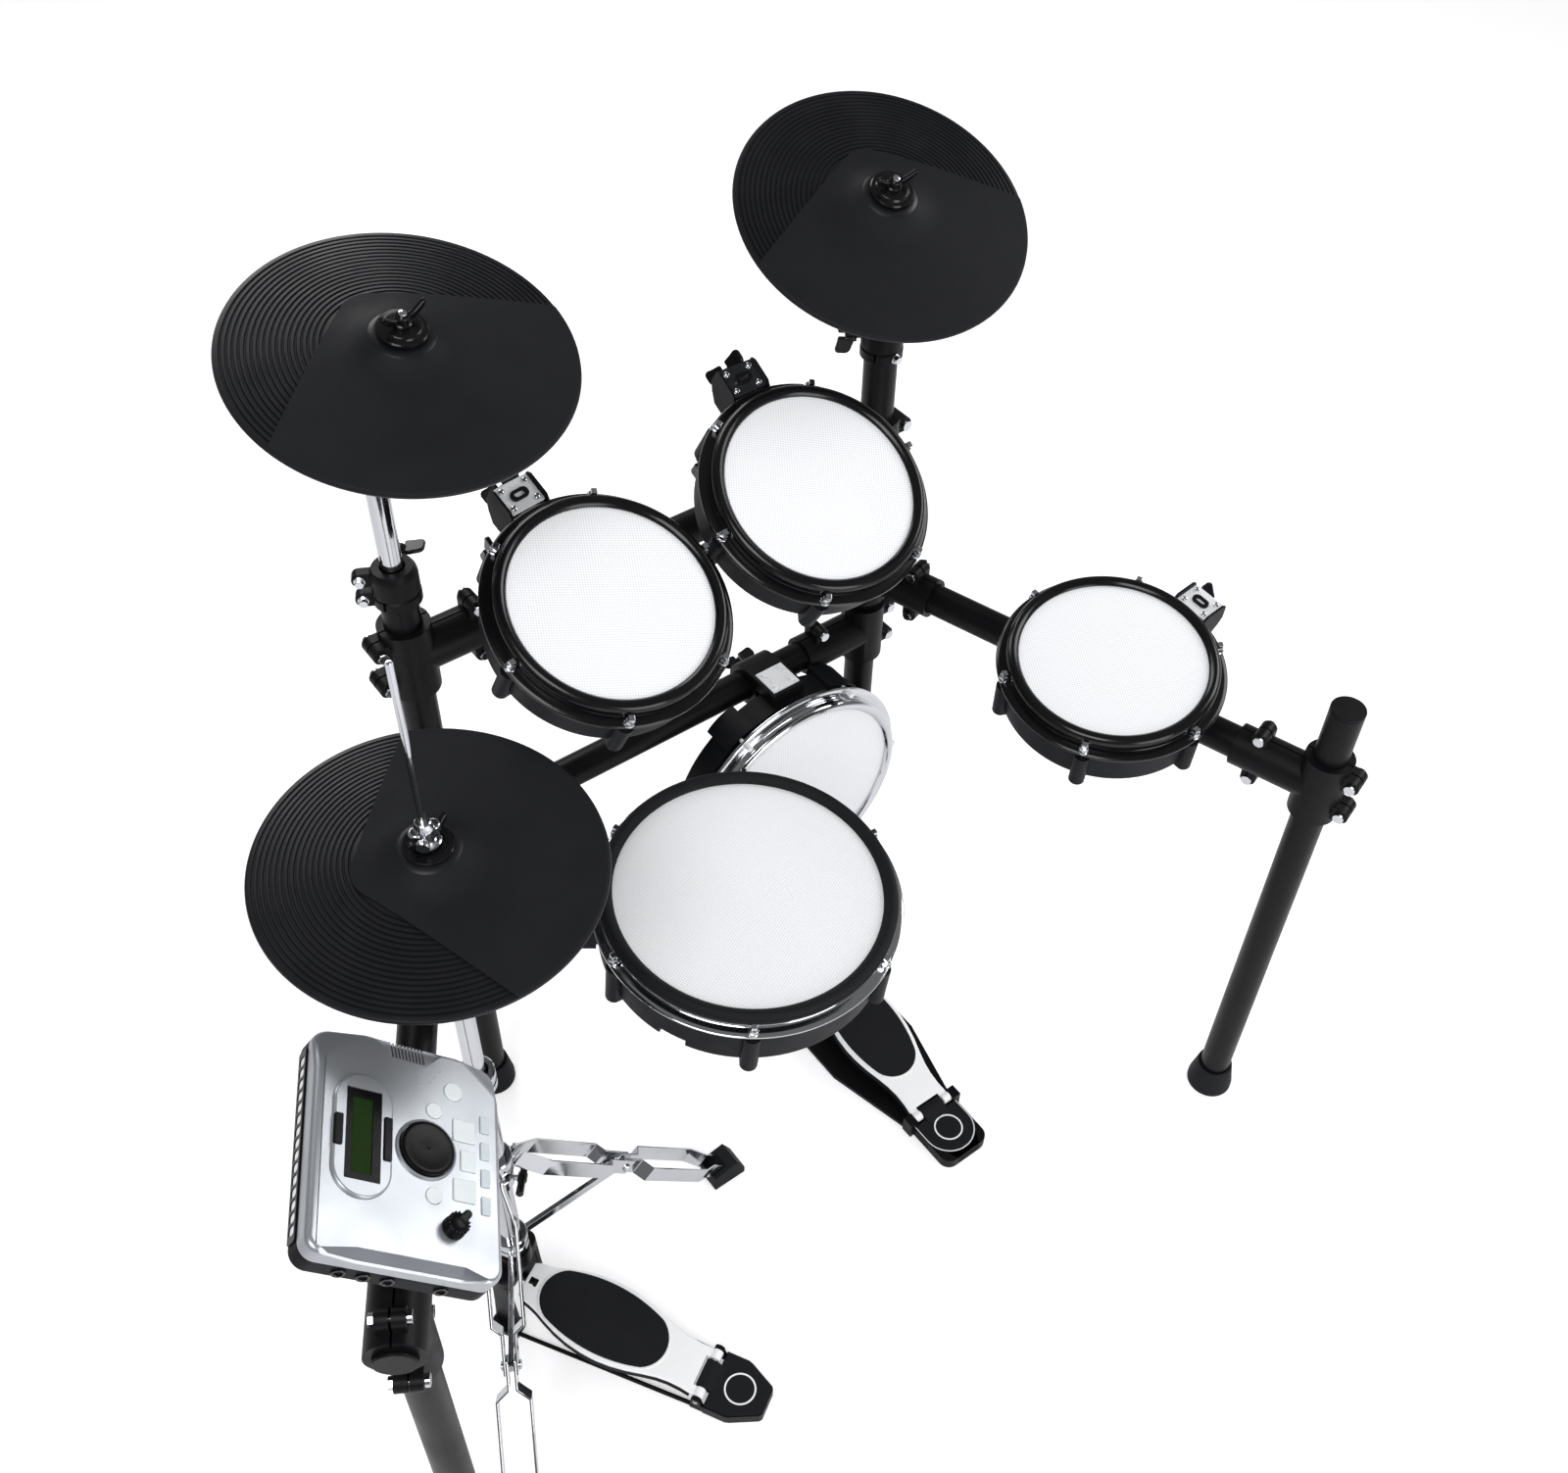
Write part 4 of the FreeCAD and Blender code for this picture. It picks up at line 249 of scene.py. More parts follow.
def turned(name, profile, steps):  # radius and height pairs, spun once round the upright axis
    piece = drawn(name, [(radius, 0, height) for radius, height in profile])
    bpy.ops.mesh.spin(steps=steps, angle=math.tau, center=(0, 0, 0), axis=(0, 0, 1))
    closeUp()
    return piece


def ringed(name, profile, steps, out=0, up=0):  # the same with the profile closed, and moved out and up
    points = [(radius + out, height + up) for radius, height in profile]
    return turned(name, points + points[:1], steps)


def slab(name, outline, low, high):  # an outline filled and pulled up
    piece = drawn(name, [(x, y, low) for x, y in outline])
    bpy.ops.mesh.edge_face_add()
    pulled((0, 0, (high - low) / 1000))
    closeUp()
    return piece


def arc(x, y, radius, start, end, steps):  # corner points between two compass angles
    angles = [math.radians(start + (end - start) * step / steps) for step in range(steps + 1)]
    return [(x + radius * math.cos(angle), y + radius * math.sin(angle)) for angle in angles]


def roundRect(x, y, width, height, radius, steps):
    right, left = x + width / 2 - radius, x - width / 2 + radius
    top, low = y + height / 2 - radius, y - height / 2 + radius
    return (arc(right, top, radius, 0, 90, steps) + arc(left, top, radius, 90, 180, steps)
            + arc(left, low, radius, 180, 270, steps) + arc(right, low, radius, 270, 360, steps))


def pick(*pieces):
    bpy.ops.object.select_all(action="DESELECT")
    for piece in pieces:
        piece.select_set(True)
    bpy.context.view_layer.objects.active = pieces[0]


def worked(piece, kind, **settings):  # a modifier added and applied
    modifier = piece.modifiers.new(kind.lower(), kind)
    for name, value in settings.items():
        setattr(modifier, name, value)
    pick(piece)
    bpy.ops.object.modifier_apply(modifier=modifier.name)
    return piece


def softened(piece, width, segments=2):  # edges rounded, width in millimetres
    return worked(piece, "BEVEL", width=width / 1000, segments=segments, limit_method="ANGLE",
                  angle_limit=math.radians(32))


def joined(*pieces):
    pick(*pieces)
    if len(pieces) > 1:
        bpy.ops.object.join()
    return pieces[0]


def discard(*pieces):
    for piece in pieces:
        bpy.data.objects.remove(piece)


def carved(piece, *cutters, operation="DIFFERENCE"):  # what the cutters cover is taken away, or alone is kept
    tool = joined(*cutters)
    worked(piece, "BOOLEAN", operation=operation, object=tool, solver="EXACT", use_self=len(cutters) > 1)
    discard(tool)
    return piece


def crowned(piece, width, segments=3, way=1):  # the rim of the faces that look up, or down, is rounded
    pick(piece)
    enter("EDIT")
    bpy.ops.mesh.select_mode(type="FACE")
    bpy.ops.mesh.select_all(action="DESELECT")
    enter("OBJECT")
    for face in piece.data.polygons:
        face.select = face.normal.z * way > 0.75
    enter("EDIT")
    bpy.ops.mesh.region_to_loop()
    bpy.ops.mesh.bevel(offset=width / 1000, segments=segments, affect="EDGES")
    bpy.ops.mesh.select_mode(type="VERT")
    enter("OBJECT")
    return piece


def moved(piece, place):
    pick(piece)
    piece.matrix_world = place
    bpy.ops.object.transform_apply(location=True, rotation=True, scale=True)
    return piece


def twin(piece, name):
    copy = bpy.data.objects.new(name, piece.data.copy())
    bpy.context.scene.collection.objects.link(copy)
    copy.data.name = name
    return copy


def settle(piece, place, body, finish, slot, *solids, crease=34):  # put in place, shaded and given its look
    moved(piece, place)
    bpy.ops.object.shade_smooth_by_angle(angle=math.radians(crease))
    worked(piece, "WEIGHTED_NORMAL", keep_sharp=True)  # flat faces stay flat beside their rounded edges
    piece.data.materials.clear()
    piece.data.materials.append(finish)
    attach(piece, body)
    if solids:
        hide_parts(*solids)


# Solids whose edges want rounding: a copy has its triangles joined to faces and its edges softened
def dressed(node, body, slot, width, loose=()):  # loose: points by the solids that are modelled anew further on
    piece = twin(nodes[node], f"{node}_rounded")
    pick(piece)
    enter("EDIT")
    bpy.ops.mesh.select_mode(type="VERT")
    bpy.ops.mesh.select_all(action="SELECT")
    bpy.ops.mesh.remove_doubles(threshold=0.00001)
    if loose:
        bpy.ops.mesh.select_all(action="DESELECT")
        enter("OBJECT")
        for spot in loose:
            min(piece.data.vertices, key=lambda vertex: (vertex.co - spot).length).select = True
        enter("EDIT")
        bpy.ops.mesh.select_linked()
        bpy.ops.mesh.delete(type="VERT")
        bpy.ops.mesh.select_all(action="SELECT")
    bpy.ops.mesh.dissolve_limited(angle_limit=math.radians(1))
    enter("OBJECT")
    softened(piece, width)
    settle(piece, Matrix(), body, finishes[node], slot, node)


roundings = {
    "t_clamps": ("rack", "black_nylon", 1.4), "tube_caps": ("rack", "black_nylon", 1.5),
    "module_bracket": ("rack", "black_nylon", 1.2), "rubber_feet": ("rack", "black_rubber", 1.5),
    "kick_pedal_base": ("rack", "pedal_paint", 1.5), "kick_stand": ("rack", "pedal_paint", 1.2),
    "snare_shell": ("snare", "shell_black", 1.5), "kick_shell": ("rack", "shell_black", 2.0),
    "clamp_bolts": ("rack", "chrome", 0.5), "cymbal_arms": ("rack", "chrome", 0.8),
    "kick_hardware": ("rack", "chrome", 0.5), "kick_beater": ("beater", "beater_steel", 1.0),
}
for node, (body, slot, width) in roundings.items():
    dressed(node, body, slot, width)
    print(node, "rounded")


# Cymbal pads: moulded rubber with fine rings, and a raised smooth strike zone
cymbal = {"firstRing": 146, "pitch": 5, "rings": 17, "ringDepth": 1.3, "zoneRise": 1.9}


def padTop(radius):
    return -2 - (radius - 45) * 14.25 / 104.5


def cymbalPad():
    profile = [
        (8, 0), (31, 0), (45, -7.5), (149.5, -21.75), (151.6, -20.9), (152.5, -18.8), (151.7, -17), (149.8, -16.3)]
    for ring in range(cymbal["rings"]):
        radius = cymbal["firstRing"] - cymbal["pitch"] * ring
        depth = cymbal["ringDepth"]
        profile += [(radius + 1.3, padTop(radius + 1.3)), (radius + 0.7, padTop(radius) - depth),
                    (radius - 0.7, padTop(radius) - depth), (radius - 1.3, padTop(radius - 1.3))]
    bell = [(58, padTop(58)), (51, -2.2), (44.5, -0.2), (38.5, 2.8), (33, 6.4), (28.6, 9.6), (25.6, 11.3), (22.5, 12)]
    disc = turned("cymbalDisc", profile + bell + [(8, 12), (8, 0)], 128)
    rise = cymbal["zoneRise"]
    lift = [(58, rise), (51, rise * 0.9), (44.5, rise * 0.75), (38.5, rise * 0.55), (33, rise * 0.35), (28.6, 0.3)]
    slope = [(radius, height + more) for (radius, height), (_, more) in zip(bell, lift)]
    zone = ringed("cymbalZone", [
        (46, -4), (149, -19), (151.9, -18.6), (151.9, -16.4), (150.6, -15.3), (149, padTop(149) + rise),
        (100, padTop(100) + rise)] + slope + [(26, 9), (28, 6)], 128)
    edge = [(25, -152.5), (200, -152.5), (200, 152.5), (25, 152.5)] + arc(-38, 0, 29, 146, 214, 10)
    sector = slab("cymbalSector", edge, -40, 20)
    carved(zone, sector, operation="INTERSECT")
    return disc, softened(zone, 0.5)


disc, zone = cymbalPad()
for name, body in (("crash", "crash"), ("ride", "ride"), ("hihat", "hihat_top")):
    settle(twin(disc, f"{name}Rubber"), places[name], body, rubberSatin, "black_rubber", f"{name}_pad")
    settle(twin(zone, f"{name}Zone"), places[name], body, rubber, "black_rubber")
discard(disc, zone)
print("cymbal pads made")


# Cymbal tops: black cup and wing nut on a chrome stud, chrome tilter underneath
wingNut = {"root": 22, "thickness": 4.4, "turn": 90, "rounding": 1.4, "outline": [
    (4.8, 1.5), (11, 2.4), (17, 6), (21.6, 11.5), (23, 15), (22, 16.8), (19.4, 16), (13.6, 11.2), (9, 8.6), (4.8, 8)]}
clutchWing = {**wingNut, "root": 19, "thickness": 5.2, "turn": 28}


def wingPair(look):
    half = look["thickness"] / 2
    wings = []
    for turn in (look["turn"], look["turn"] + 180):
        wing = softened(slab("wing", look["outline"], -half, half), look["rounding"], 3)
        wings.append(moved(wing, shifted(0, 0, look["root"]) @ spun(turn) @ upright))
    return wings


cup = ringed("topperCup", [
    (4.1, 16), (15, 16), (18, 14), (20.8, 13.9), (22, 14.9), (22, 17), (21, 18.1), (17.4, 18.6), (16.2, 20.6),
    (14.8, 21.4), (4.1, 21.4)], 64)
seat = ringed("topperSeat", [(4.1, -7.7), (5.2, -7.7), (8.2, -2), (8.5, -0.8), (4.1, -0.8)], 32)
hub = ringed("wingNutHub", [
    (4.1, 21.4), (7.6, 21.4), (8, 22), (8, 24), (6.9, 25), (6.4, 30.4), (5.6, 31.4), (4.1, 31.4)], 32)
black = joined(cup, seat, hub, *wingPair(wingNut))
stud = turned("topperStud", [(0, -20), (4, -20), (4, 33), (3.4, 34.2), (1.8, 34.9), (0, 35)], 32)
knuckle = ringed("topperKnuckle", [(3.8, -4.5), (10.2, -4.5), (11, -3.7), (11, 3.7), (10.2, 4.5), (3.8, 4.5)], 48)
moved(knuckle, shifted(0, 0, -30.75) @ across)
bright = joined(stud, knuckle)
for name in ("crash", "ride"):
    settle(twin(black, f"{name}Topper"), places[name], f"{name}_mount", absSmooth, "shell_black", f"{name}_tilter")
    settle(twin(bright, f"{name}Stud"), places[name], f"{name}_mount", chrome, "chrome")
discard(black, bright)


# Hi-hat clutch: chrome rod, nuts and lobes, with a black ring on the pad round them
clutch = {"level": 847, "rodLow": 66, "rodTop": 1070}


def clutchPiece():
    level, low, top = clutch["level"], clutch["rodLow"], clutch["rodTop"]
    rod = turned("clutchRod", [(0, low), (3.2, low), (3.2, top - 2), (2.2, top - 0.4), (0, top)], 24)
    upper = ringed("clutchUpper", [
        (3.2, 12), (6.5, 12), (6.5, 13.5), (12.2, 13.5), (13, 14.3), (13, 18.6), (12.2, 19.4), (8.8, 20), (8.2, 24),
        (9.8, 25.6), (9.8, 33), (8.6, 35.4), (7.2, 41.6), (6.2, 42.5), (3.2, 42.5)], 48, up=level)
    lower = ringed("clutchLower", [
        (3.2, -7.5), (12.2, -7.5), (13, -6.7), (13, -2.3), (12.2, -1.5), (6.5, -1.5), (6.5, 12), (3.2, 12)],
        48, up=level)
    lobes = [softened(slab("clutchLobe", arc(x, 0, 6.5, 0, 342, 19), level + 25.5, level + 34.5), 2.2, 3)
             for x in (-8, 8)]
    screw = turned("clutchScrew", [
        (0, 0), (2.6, 0), (2.6, 12), (5.6, 13), (6.2, 14), (6.2, 17), (5.4, 18), (0, 18)], 24)
    moved(screw, shifted(0, 0, level + 28) @ spun(-35) @ upright)
    return joined(rod, upper, lower, screw, *lobes)


settle(clutchPiece(), places["hihatStand"], "hihat_top", chrome, "chrome", "hihat_clutch")
collar = ringed("hihatCollar", [
    (14.6, 11.6), (21, 11.6), (22, 12.4), (22, 14), (21, 15), (15.6, 15), (14.6, 14.2)], 64)
settle(joined(collar, *wingPair(clutchWing)), places["hihat"], "hihat_top", absSmooth, "black_rubber")
print("cymbal tops made")


# Drum hoops: a broad rounded rim over a second ring, plain on the toms and plated on the kick
drums = {"tom_1": (103.7, 32), "tom_2": (103.7, 32), "tom_3": (103.7, 32), "snare": (141, 57), "kick": (139.3, 0)}


def hoopPiece(name, head):
    return ringed(name, [
        (-2.7, 0.5), (-2.8, 2.2), (-1.6, 3.8), (0.6, 5.4), (3.3, 6.4), (5.6, 6.2), (8, 4.8), (9.6, 2.9), (10.3, 0.8),
        (10.3, -6.2), (9.6, -7.6), (8.6, -8.4), (9.4, -9.6), (11.4, -10.1), (15, -10.1), (17.8, -10.7), (19.5, -12),
        (20, -13.6), (19.6, -15), (18.2, -16), (4.1, -16), (4.1, -9), (1.6, -9), (1.6, 0.5)], 128, out=head)


hoop = hoopPiece("tomHoop", drums["tom_1"][0])
for count in (1, 2, 3):
    settle(twin(hoop, f"tomHoop{count}"), places[f"tom_{count}"], f"tom_{count}", absSmooth, "hoop_black",
           f"tom_{count}_hoop")
discard(hoop)
settle(hoopPiece("kickHoop", drums["kick"][0]), places["kick"], "rack", chrome, "chrome", "kick_hoop")

# Snare: a plated hoop with a rubber rim pressed over it
head = drums["snare"][0]
band = ringed("snareBand", [
    (1.6, -9), (4.1, -9), (4.1, -16), (18.6, -16), (20, -14.8), (20, -13), (18.8, -12.2), (15, -11.8), (11, -11.4),
    (9, -10.4), (8.2, -9), (8, -7), (8.7, -5.8), (8.7, -4.2), (8, -3), (8, 1.9), (1.6, 1.9)], 144, out=head)
settle(band, places["snare"], "snare", chrome, "chrome", "snare_hoop")
rim = ringed("snareRubber", [
    (-2.7, 0.5), (-2.9, 2.6), (-1.6, 4.6), (0.8, 6.8), (3.6, 8.4), (6, 8.8), (8.4, 7.9), (10.4, 6), (11.3, 4.2),
    (11, 3.5), (12.2, 2.9), (12.5, 1.8), (12.5, -0.8), (11.9, -1.4), (8.3, -1.4), (8.3, 2.1), (1.7, 2.1),
    (1.7, 0.5)], 144, out=head)
settle(rim, places["snare"], "snare", rubber, "black_rubber", "snare_rim")
print("hoops made")

# Tension bolts with a washer, a hexagon and a square key end, and the plate on each pad's bracket
tension = {"reach": 15.2, "count": 6, "plateStart": 20.6, "plateEnd": 53, "plateWidth": 40, "blockHeight": 34,
           "blockEnd": 46.3, "screwInset": 6, "screwSide": 14, "wallSide": 21.7}


def boltPiece():
    shaft = turned("boltShaft", [(0, -37), (2.1, -37), (2.6, -36.4), (2.6, -12.2), (0, -12.2)], 16)
    washer = turned("boltWasher", [(0, -12), (5.2, -12), (5.6, -11.4), (5.6, -9.6), (5, -8.8), (0, -8.8)], 24)
    hexagon = softened(slab("boltHexagon", arc(0, 0, 4.9, 0, 300, 5), -8.9, -4.2), 0.5)
    key = softened(slab("boltKey", roundRect(0, 0, 6, 6, 0.6, 2), -4.4, 1.2), 0.6)
    return joined(shaft, washer, hexagon, key)


def screwPiece():
    head = turned("plateScrew", [(0, 2.7), (1.8, 2.5), (2.8, 1.8), (3.2, 0.6), (3.2, 0), (0, 0)], 24)
    return carved(head, slab("screwSlot", roundRect(0, 0, 4.4, 0.9, 0.3, 1), 1.7, 4),
                  slab("screwSlot", roundRect(0, 0, 0.9, 4.4, 0.3, 1), 1.7, 4))


def bracketPieces(head, drop):
    level = tension["blockHeight"] / 2 - drop
    low, high = head + tension["plateStart"], head + tension["plateEnd"]
    middle = (low + high) / 2
    plate = slab("bracketPlate", roundRect(middle, 0, high - low, tension["plateWidth"], 2, 3), level, level + 2)
    softened(plate, 0.4)
    eye = slab("bracketEye", roundRect(middle, 0, 11, 20, 5, 6), level + 1.5, level + 5)
    carved(eye, slab("eyeCut", roundRect(middle, 0, 5, 12, 2.4, 6), level + 1, level + 9))
    softened(eye, 0.9, 3)
    screw = screwPiece()
    screws = []
    for x in (low + tension["screwInset"], high - tension["screwInset"]):
        for y in (-tension["screwSide"], tension["screwSide"]):
            screws.append(moved(twin(screw, "plateScrewCopy"), shifted(x, y, level + 2)))
    discard(screw)
    edge = [(low - 3, level - 26), (head + tension["blockEnd"], level - 26), (high + 0.6, level - 15),
            (high + 0.6, level + 3), (high - 4, level + 6.5), (low + 3, level + 6.5), (low - 3, level + 2)]
    sides = [eye]
    for side in (-1, 1):
        wall = softened(slab("bracketWall", edge, -1.4, 1.4), 0.7, 3)
        sides.append(moved(wall, shifted(0, side * tension["wallSide"], 0) @ upright))
    return plate, joined(*screws), joined(*sides)


halfPitch = spun(180 / tension["count"])
bolt = boltPiece()
for name in ("tom_1", "tom_2", "tom_3", "snare"):
    head, drop = drums[name]
    plate, screws, black = bracketPieces(head, drop)
    ring = [moved(screws, halfPitch)]
    for count in range(tension["count"]):
        place = spun(360 * count / tension["count"]) @ shifted(head + tension["reach"], 0, 0)
        ring.append(moved(twin(bolt, f"{name}Bolt"), place))
    plate.name = f"{name}BracketPlate"
    black.name = f"{name}BracketSides"
    settle(joined(*ring), places[name], name, chrome, "chrome", f"{name}_hardware")
    # tom_2's plate is left mirror chrome; the other plates are chrome with a painted bright reflection
    settle(moved(plate, halfPitch), places[name], name, chrome if name == "tom_2" else chromePaintedBright, "chrome")
    settle(moved(black, halfPitch), places[name], name, absGrained, "shell_black")
discard(bolt)
print("bolts and brackets made")


# Wing screws: a hub with two broad paddles, on the clamps, the posts and the toms' brackets
wingScrew = {"root": 0, "thickness": 5, "turn": 0, "rounding": 1.5, "outline": [
    (3, 2.6), (8, 3), (18.6, 6.4), (21.4, 8.6), (22.6, 12), (22.6, 20), (21.2, 22.8), (18, 23.6), (12, 22), (3, 20.4)]}
# The foot of each clamp's screw in millimetres, the way its wings and its axis go, and the turn it is left at
clampWings = [
    ((-88.62, 290.87, 803.15), (1, 0, 0), (0, 0.891, 0.454), 90),
    ((181.38, 293.36, 797.44), (1, 0, 0), (0, 0.9397, 0.342), 90),
    ((551.3, -121.62, 594.07), (-0.2957, 0.9553, 0), (0.9537, 0.2952, -0.0576), 0),
    ((-308.61, 92.48, 546), (0.5195, 0.8545, 0), (0, 0, -1), 0),
    ((219.38, 272.43, 500), (1, 0, 0), (0, 1, 0), 0),
    ((-498.44, -167.77, 597), (0.2699, 0.4439, 0.8545), (-0.8545, 0.5195, 0), 0),
]
wingTip = Vector((0.0185, 0, 0.02))  # a point by which a solid wing is found

# Post collars: two rings over the end of a tube, drawn together by bolts, with a wing screw; levels in millimetres
posts = (
    {"centre": (-215.62, 245.45), "drop": 50, "wing": 52, "roll": 90, "wingLevel": 934, "ears": (152, (909, 933))},
    {"centre": (384.38, 245.45), "drop": 0, "wing": 142, "roll": 0, "wingLevel": 926, "bolt": (271, 909)},
)
postCollar = {"split": 213, "wingFoot": 28, "ear": 32, "earHalf": 6,
              "solidWing": (272.43, 855), "solidSide": (218.5, 868)}


def aboutPost(angle, out, level, side=0):  # so far out from the post's axis, in the direction of the angle
    return spun(angle) @ shifted(out, side, level)


def collarBolt():
    washer = turned("collarWasher", [(0, -2), (5.4, -2), (5.8, -1.4), (5.8, 0.4), (5.2, 1), (0, 1)], 32)
    hexagon = softened(slab("collarHexagon", arc(0, 0, 4.7, 0, 300, 5), 0.8, 6), 0.6)
    return joined(washer, hexagon)


def collarPieces(post):
    collar = ringed("postCollar", [
        (12.6, 903), (23, 903), (24, 904), (24, 913.6), (23, 914.6), (22.4, 915.4), (23.6, 916.6), (23.6, 935),
        (22.6, 940), (20, 944.4), (12.6, 944.4)], 64)
    gap = slab("collarGap", roundRect(22, 0, 8, 3, 0.4, 2), 900, 915.4)
    carved(collar, moved(gap, spun(postCollar["split"])))
    screw = joined(twin(wing, "collarWing"), turned("collarScrew", [(0, -7), (3.2, -7), (3.2, 1), (0, 1)], 24))
    moved(screw, aboutPost(post["wing"], postCollar["wingFoot"], post["wingLevel"]) @ sideways @ spun(post["roll"]))
    pieces = [(screw, absSmooth, "black_nylon")]
    if "ears" in post:
        angle, levels = post["ears"]
        out, half = postCollar["ear"], postCollar["earHalf"]
        ears, bolts = [], []
        for level in levels:
            ear = slab("collarEar", [(18, -8)] + arc(out, 0, 8, -90, 90, 12) + [(18, 8)], -half, half)
            ears.append(moved(softened(ear, 1.2, 3), aboutPost(angle, 0, level) @ upright))
            bolts.append(moved(collarBolt(), aboutPost(angle, out, level, half) @ across))
        collar, bolt = joined(collar, *ears), joined(*bolts)
    else:
        angle, level = post["bolt"]
        bolt = moved(collarBolt(), aboutPost(angle, 24, level) @ sideways)
        sleeve = ringed("postSleeve", [(14, 884), (19, 884), (19, 906), (14, 906)], 64)
        pieces.append((sleeve, powderCoat, "rack_paint"))
    return pieces + [(collar, nylon, "black_nylon"), (bolt, chrome, "chrome")]


hub = turned("wingScrewHub", [(0, 0), (6.4, 0), (7, 0.6), (7, 3), (6.2, 4), (6.2, 11.4), (5, 13), (0, 13)], 32)
wing = joined(hub, *wingPair(wingScrew))
loose, rackWings = [], []
for foot, span, axis, turn in clampWings:
    at = placed(foot, span, axis)
    loose.append(at @ wingTip)
    rackWings.append(moved(twin(wing, "clampWing"), at @ spun(turn)))
for post in posts:
    x, y = post["centre"]
    loose.append(placed((x, *postCollar["solidWing"]), (1, 0, 0), (0, 1, 0)) @ wingTip)
    loose.append(Vector((x, *postCollar["solidSide"])) / 1000)
    for piece, finish, slot in collarPieces(post):
        settle(piece, shifted(x, y, -post["drop"]), "rack", finish, slot)
settle(joined(*rackWings), Matrix(), "rack", absSmooth, "black_nylon")
dressed("rod_clamps", "rack", "black_nylon", 1.2, loose)
for name, turn in (("tom_1", -50), ("tom_2", -50), ("tom_3", 50)):
    head, drop = drums[name]
    at = placed((head + tension["blockEnd"], 0, -drop), (0, 1, 0), (1, 0, 0))
    dressed(f"{name}_shell", name, "shell_black", 1.5, [places[name] @ halfPitch @ at @ wingTip])
    screw = moved(twin(wing, f"{name}Wing"), halfPitch @ at @ spun(turn))
    settle(screw, places[name], name, absSmooth, "shell_black")
discard(wing)
print("wing screws and collars made")


# Footboards: cast boards with an oval rubber pad, hinged to a heel plate; Y runs from heel to toe
footboard = {"hinge": 20, "rise": 11.5, "oval": (137, 38, 72.5), "ovalGrow": (4, 9), "hole": (231, 10.4),
             "padLow": 2.9, "padTop": 5.5, "shadeSkirtLow": -12, "shadeSkirtTop": 0.8}


def mirrored(half):  # the right-hand points, and the same on the left
    return half + [(-x, y) for x, y in reversed(half)]


def ovalOutline(grow):
    place, halfWidth, halfLength = footboard["oval"]
    right = arc(-124, 0, 162, -20.2, 20.2, 20)[:-1]
    toe = arc(0, 40.5, 32, 29, 151, 14)[:-1]
    points = right + toe + [(-x, -y) for x, y in right + toe]
    wider, longer = footboard["ovalGrow"]
    widen, lengthen = 1 + (wider + grow) / halfWidth, 1 + (longer + grow) / halfLength
    return [(x * widen, place + y * lengthen) for x, y in points]


boardSide = [
    (28.8, 22), (29.2, 38), (31.4, 53), (35.6, 69), (41.2, 88), (45.2, 107), (47.2, 125), (47, 144), (44.6, 164),
    (40.2, 182), (34.6, 198), (29.4, 211), (26.2, 222)]


def boardPiece():
    board = slab("boardCast", mirrored([(18.5, 10.5), (18.5, -3), (20, -5), (28.5, -5), (30, -3.4), (30, 8)]
                                       + boardSide + [(24.2, 233), (21, 240)]), 0.4, 3)
    crowned(board, 1.6, 3)
    place, size = footboard["hole"]
    carved(board, slab("boardHole", roundRect(0, place, size, size, 1, 2), -9, 9))
    border = crowned(slab("boardBorder", ovalOutline(2.4), 2, 4.1), 0.8, 2)
    barrels = []
    for turn in (-90, 90):
        barrel = ringed("boardBarrel", [(3.3, 18.5), (5.9, 18.5), (6.5, 19.1), (6.5, 29.4), (5.9, 30), (3.3, 30)], 32)
        barrels.append(moved(barrel, spun(turn, "Y")))
    return joined(board, border, *barrels)


def strapPiece():
    belt = slab("driveStrap", roundRect(0, 135.6, 16, 138.7, 2, 3), -1.5, 1.5)
    moved(belt, shifted(0, 256.8, 0) @ upright)
    clip = slab("driveClip", roundRect(0, 245.2, 16, 26.2, 1.5, 3), 66.3, 70.2)
    return softened(joined(belt, clip), 0.6)


heels = {
    "hihat": {"plate": [(36, -9), (36, -37), (34.5, -42), (19, -73.5), (15.5, -76)], "ear": 6.4, "ringPlace": -41},
    "kick": {"plate": [(36, -9)] + arc(21, -61, 15, 0, -90, 6), "ear": 6.2, "ringPlace": -35,
             "cover": [(33.4, -9)] + arc(0, -34, 33.4, 0, -84, 14)},
}


def heelPieces(kind):
    outline = mirrored(heels[kind]["plate"])
    block = crowned(slab("heelBlock", outline, 0, 16), 0.8, 2)
    ears = []
    for x in (-35.6, 30.4):
        ear = slab("heelEar", [(-12, 0), (8, 0)] + arc(0, 20, heels[kind]["ear"], -10, 190, 14), 0, 5.2)
        ears.append(moved(softened(ear, 0.8, 3), shifted(x, 0, 0) @ endways))
    pin = turned("heelPin", [(0, -36.6), (2.4, -36.6), (3, -36), (3, 36), (2.4, 36.6), (0, 36.6)], 24)
    moved(pin, shifted(0, 0, footboard["hinge"]) @ sideways)
    inner = [(x * 0.955, -40 + (y + 40) * 0.955) for x, y in outline]
    if "cover" in heels[kind]:
        inner = mirrored(heels[kind]["cover"])
    cover = crowned(slab("heelCover", inner, 15.5, 18.2), 0.8, 3)
    tongue = slab("heelTongue", [
        (-18, 15.6), (-18, 18.2), (-10, 20), (-4, 23.4), (3, 24), (8, 22.6), (8, 12), (-9, 12)], -17, 17)
    softened(moved(tongue, endways), 0.9, 3)
    ring = ringed("heelRing", [(16.8, 18), (18.8, 18), (18.8, 18.5), (16.8, 18.5)], 96)
    moved(ring, shifted(0, heels[kind]["ringPlace"], 0))
    # On the kick a thin white strip along the rim of the heel cover, joined to the ring in the same white
    if "cover" in heels[kind]:
        edge = slab("heelEdge", [(x * 1.045, -9 + (y + 9) * 1.03) for x, y in inner], 15.7, 16.5)
        middle = slab("heelEdgeCut", [(x * 1.01, -3 + (y + 3) * 1.006) for x, y in inner], 15, 17)
        joined(ring, carved(edge, middle))
    return joined(block, *ears), pin, joined(cover, tongue), ring


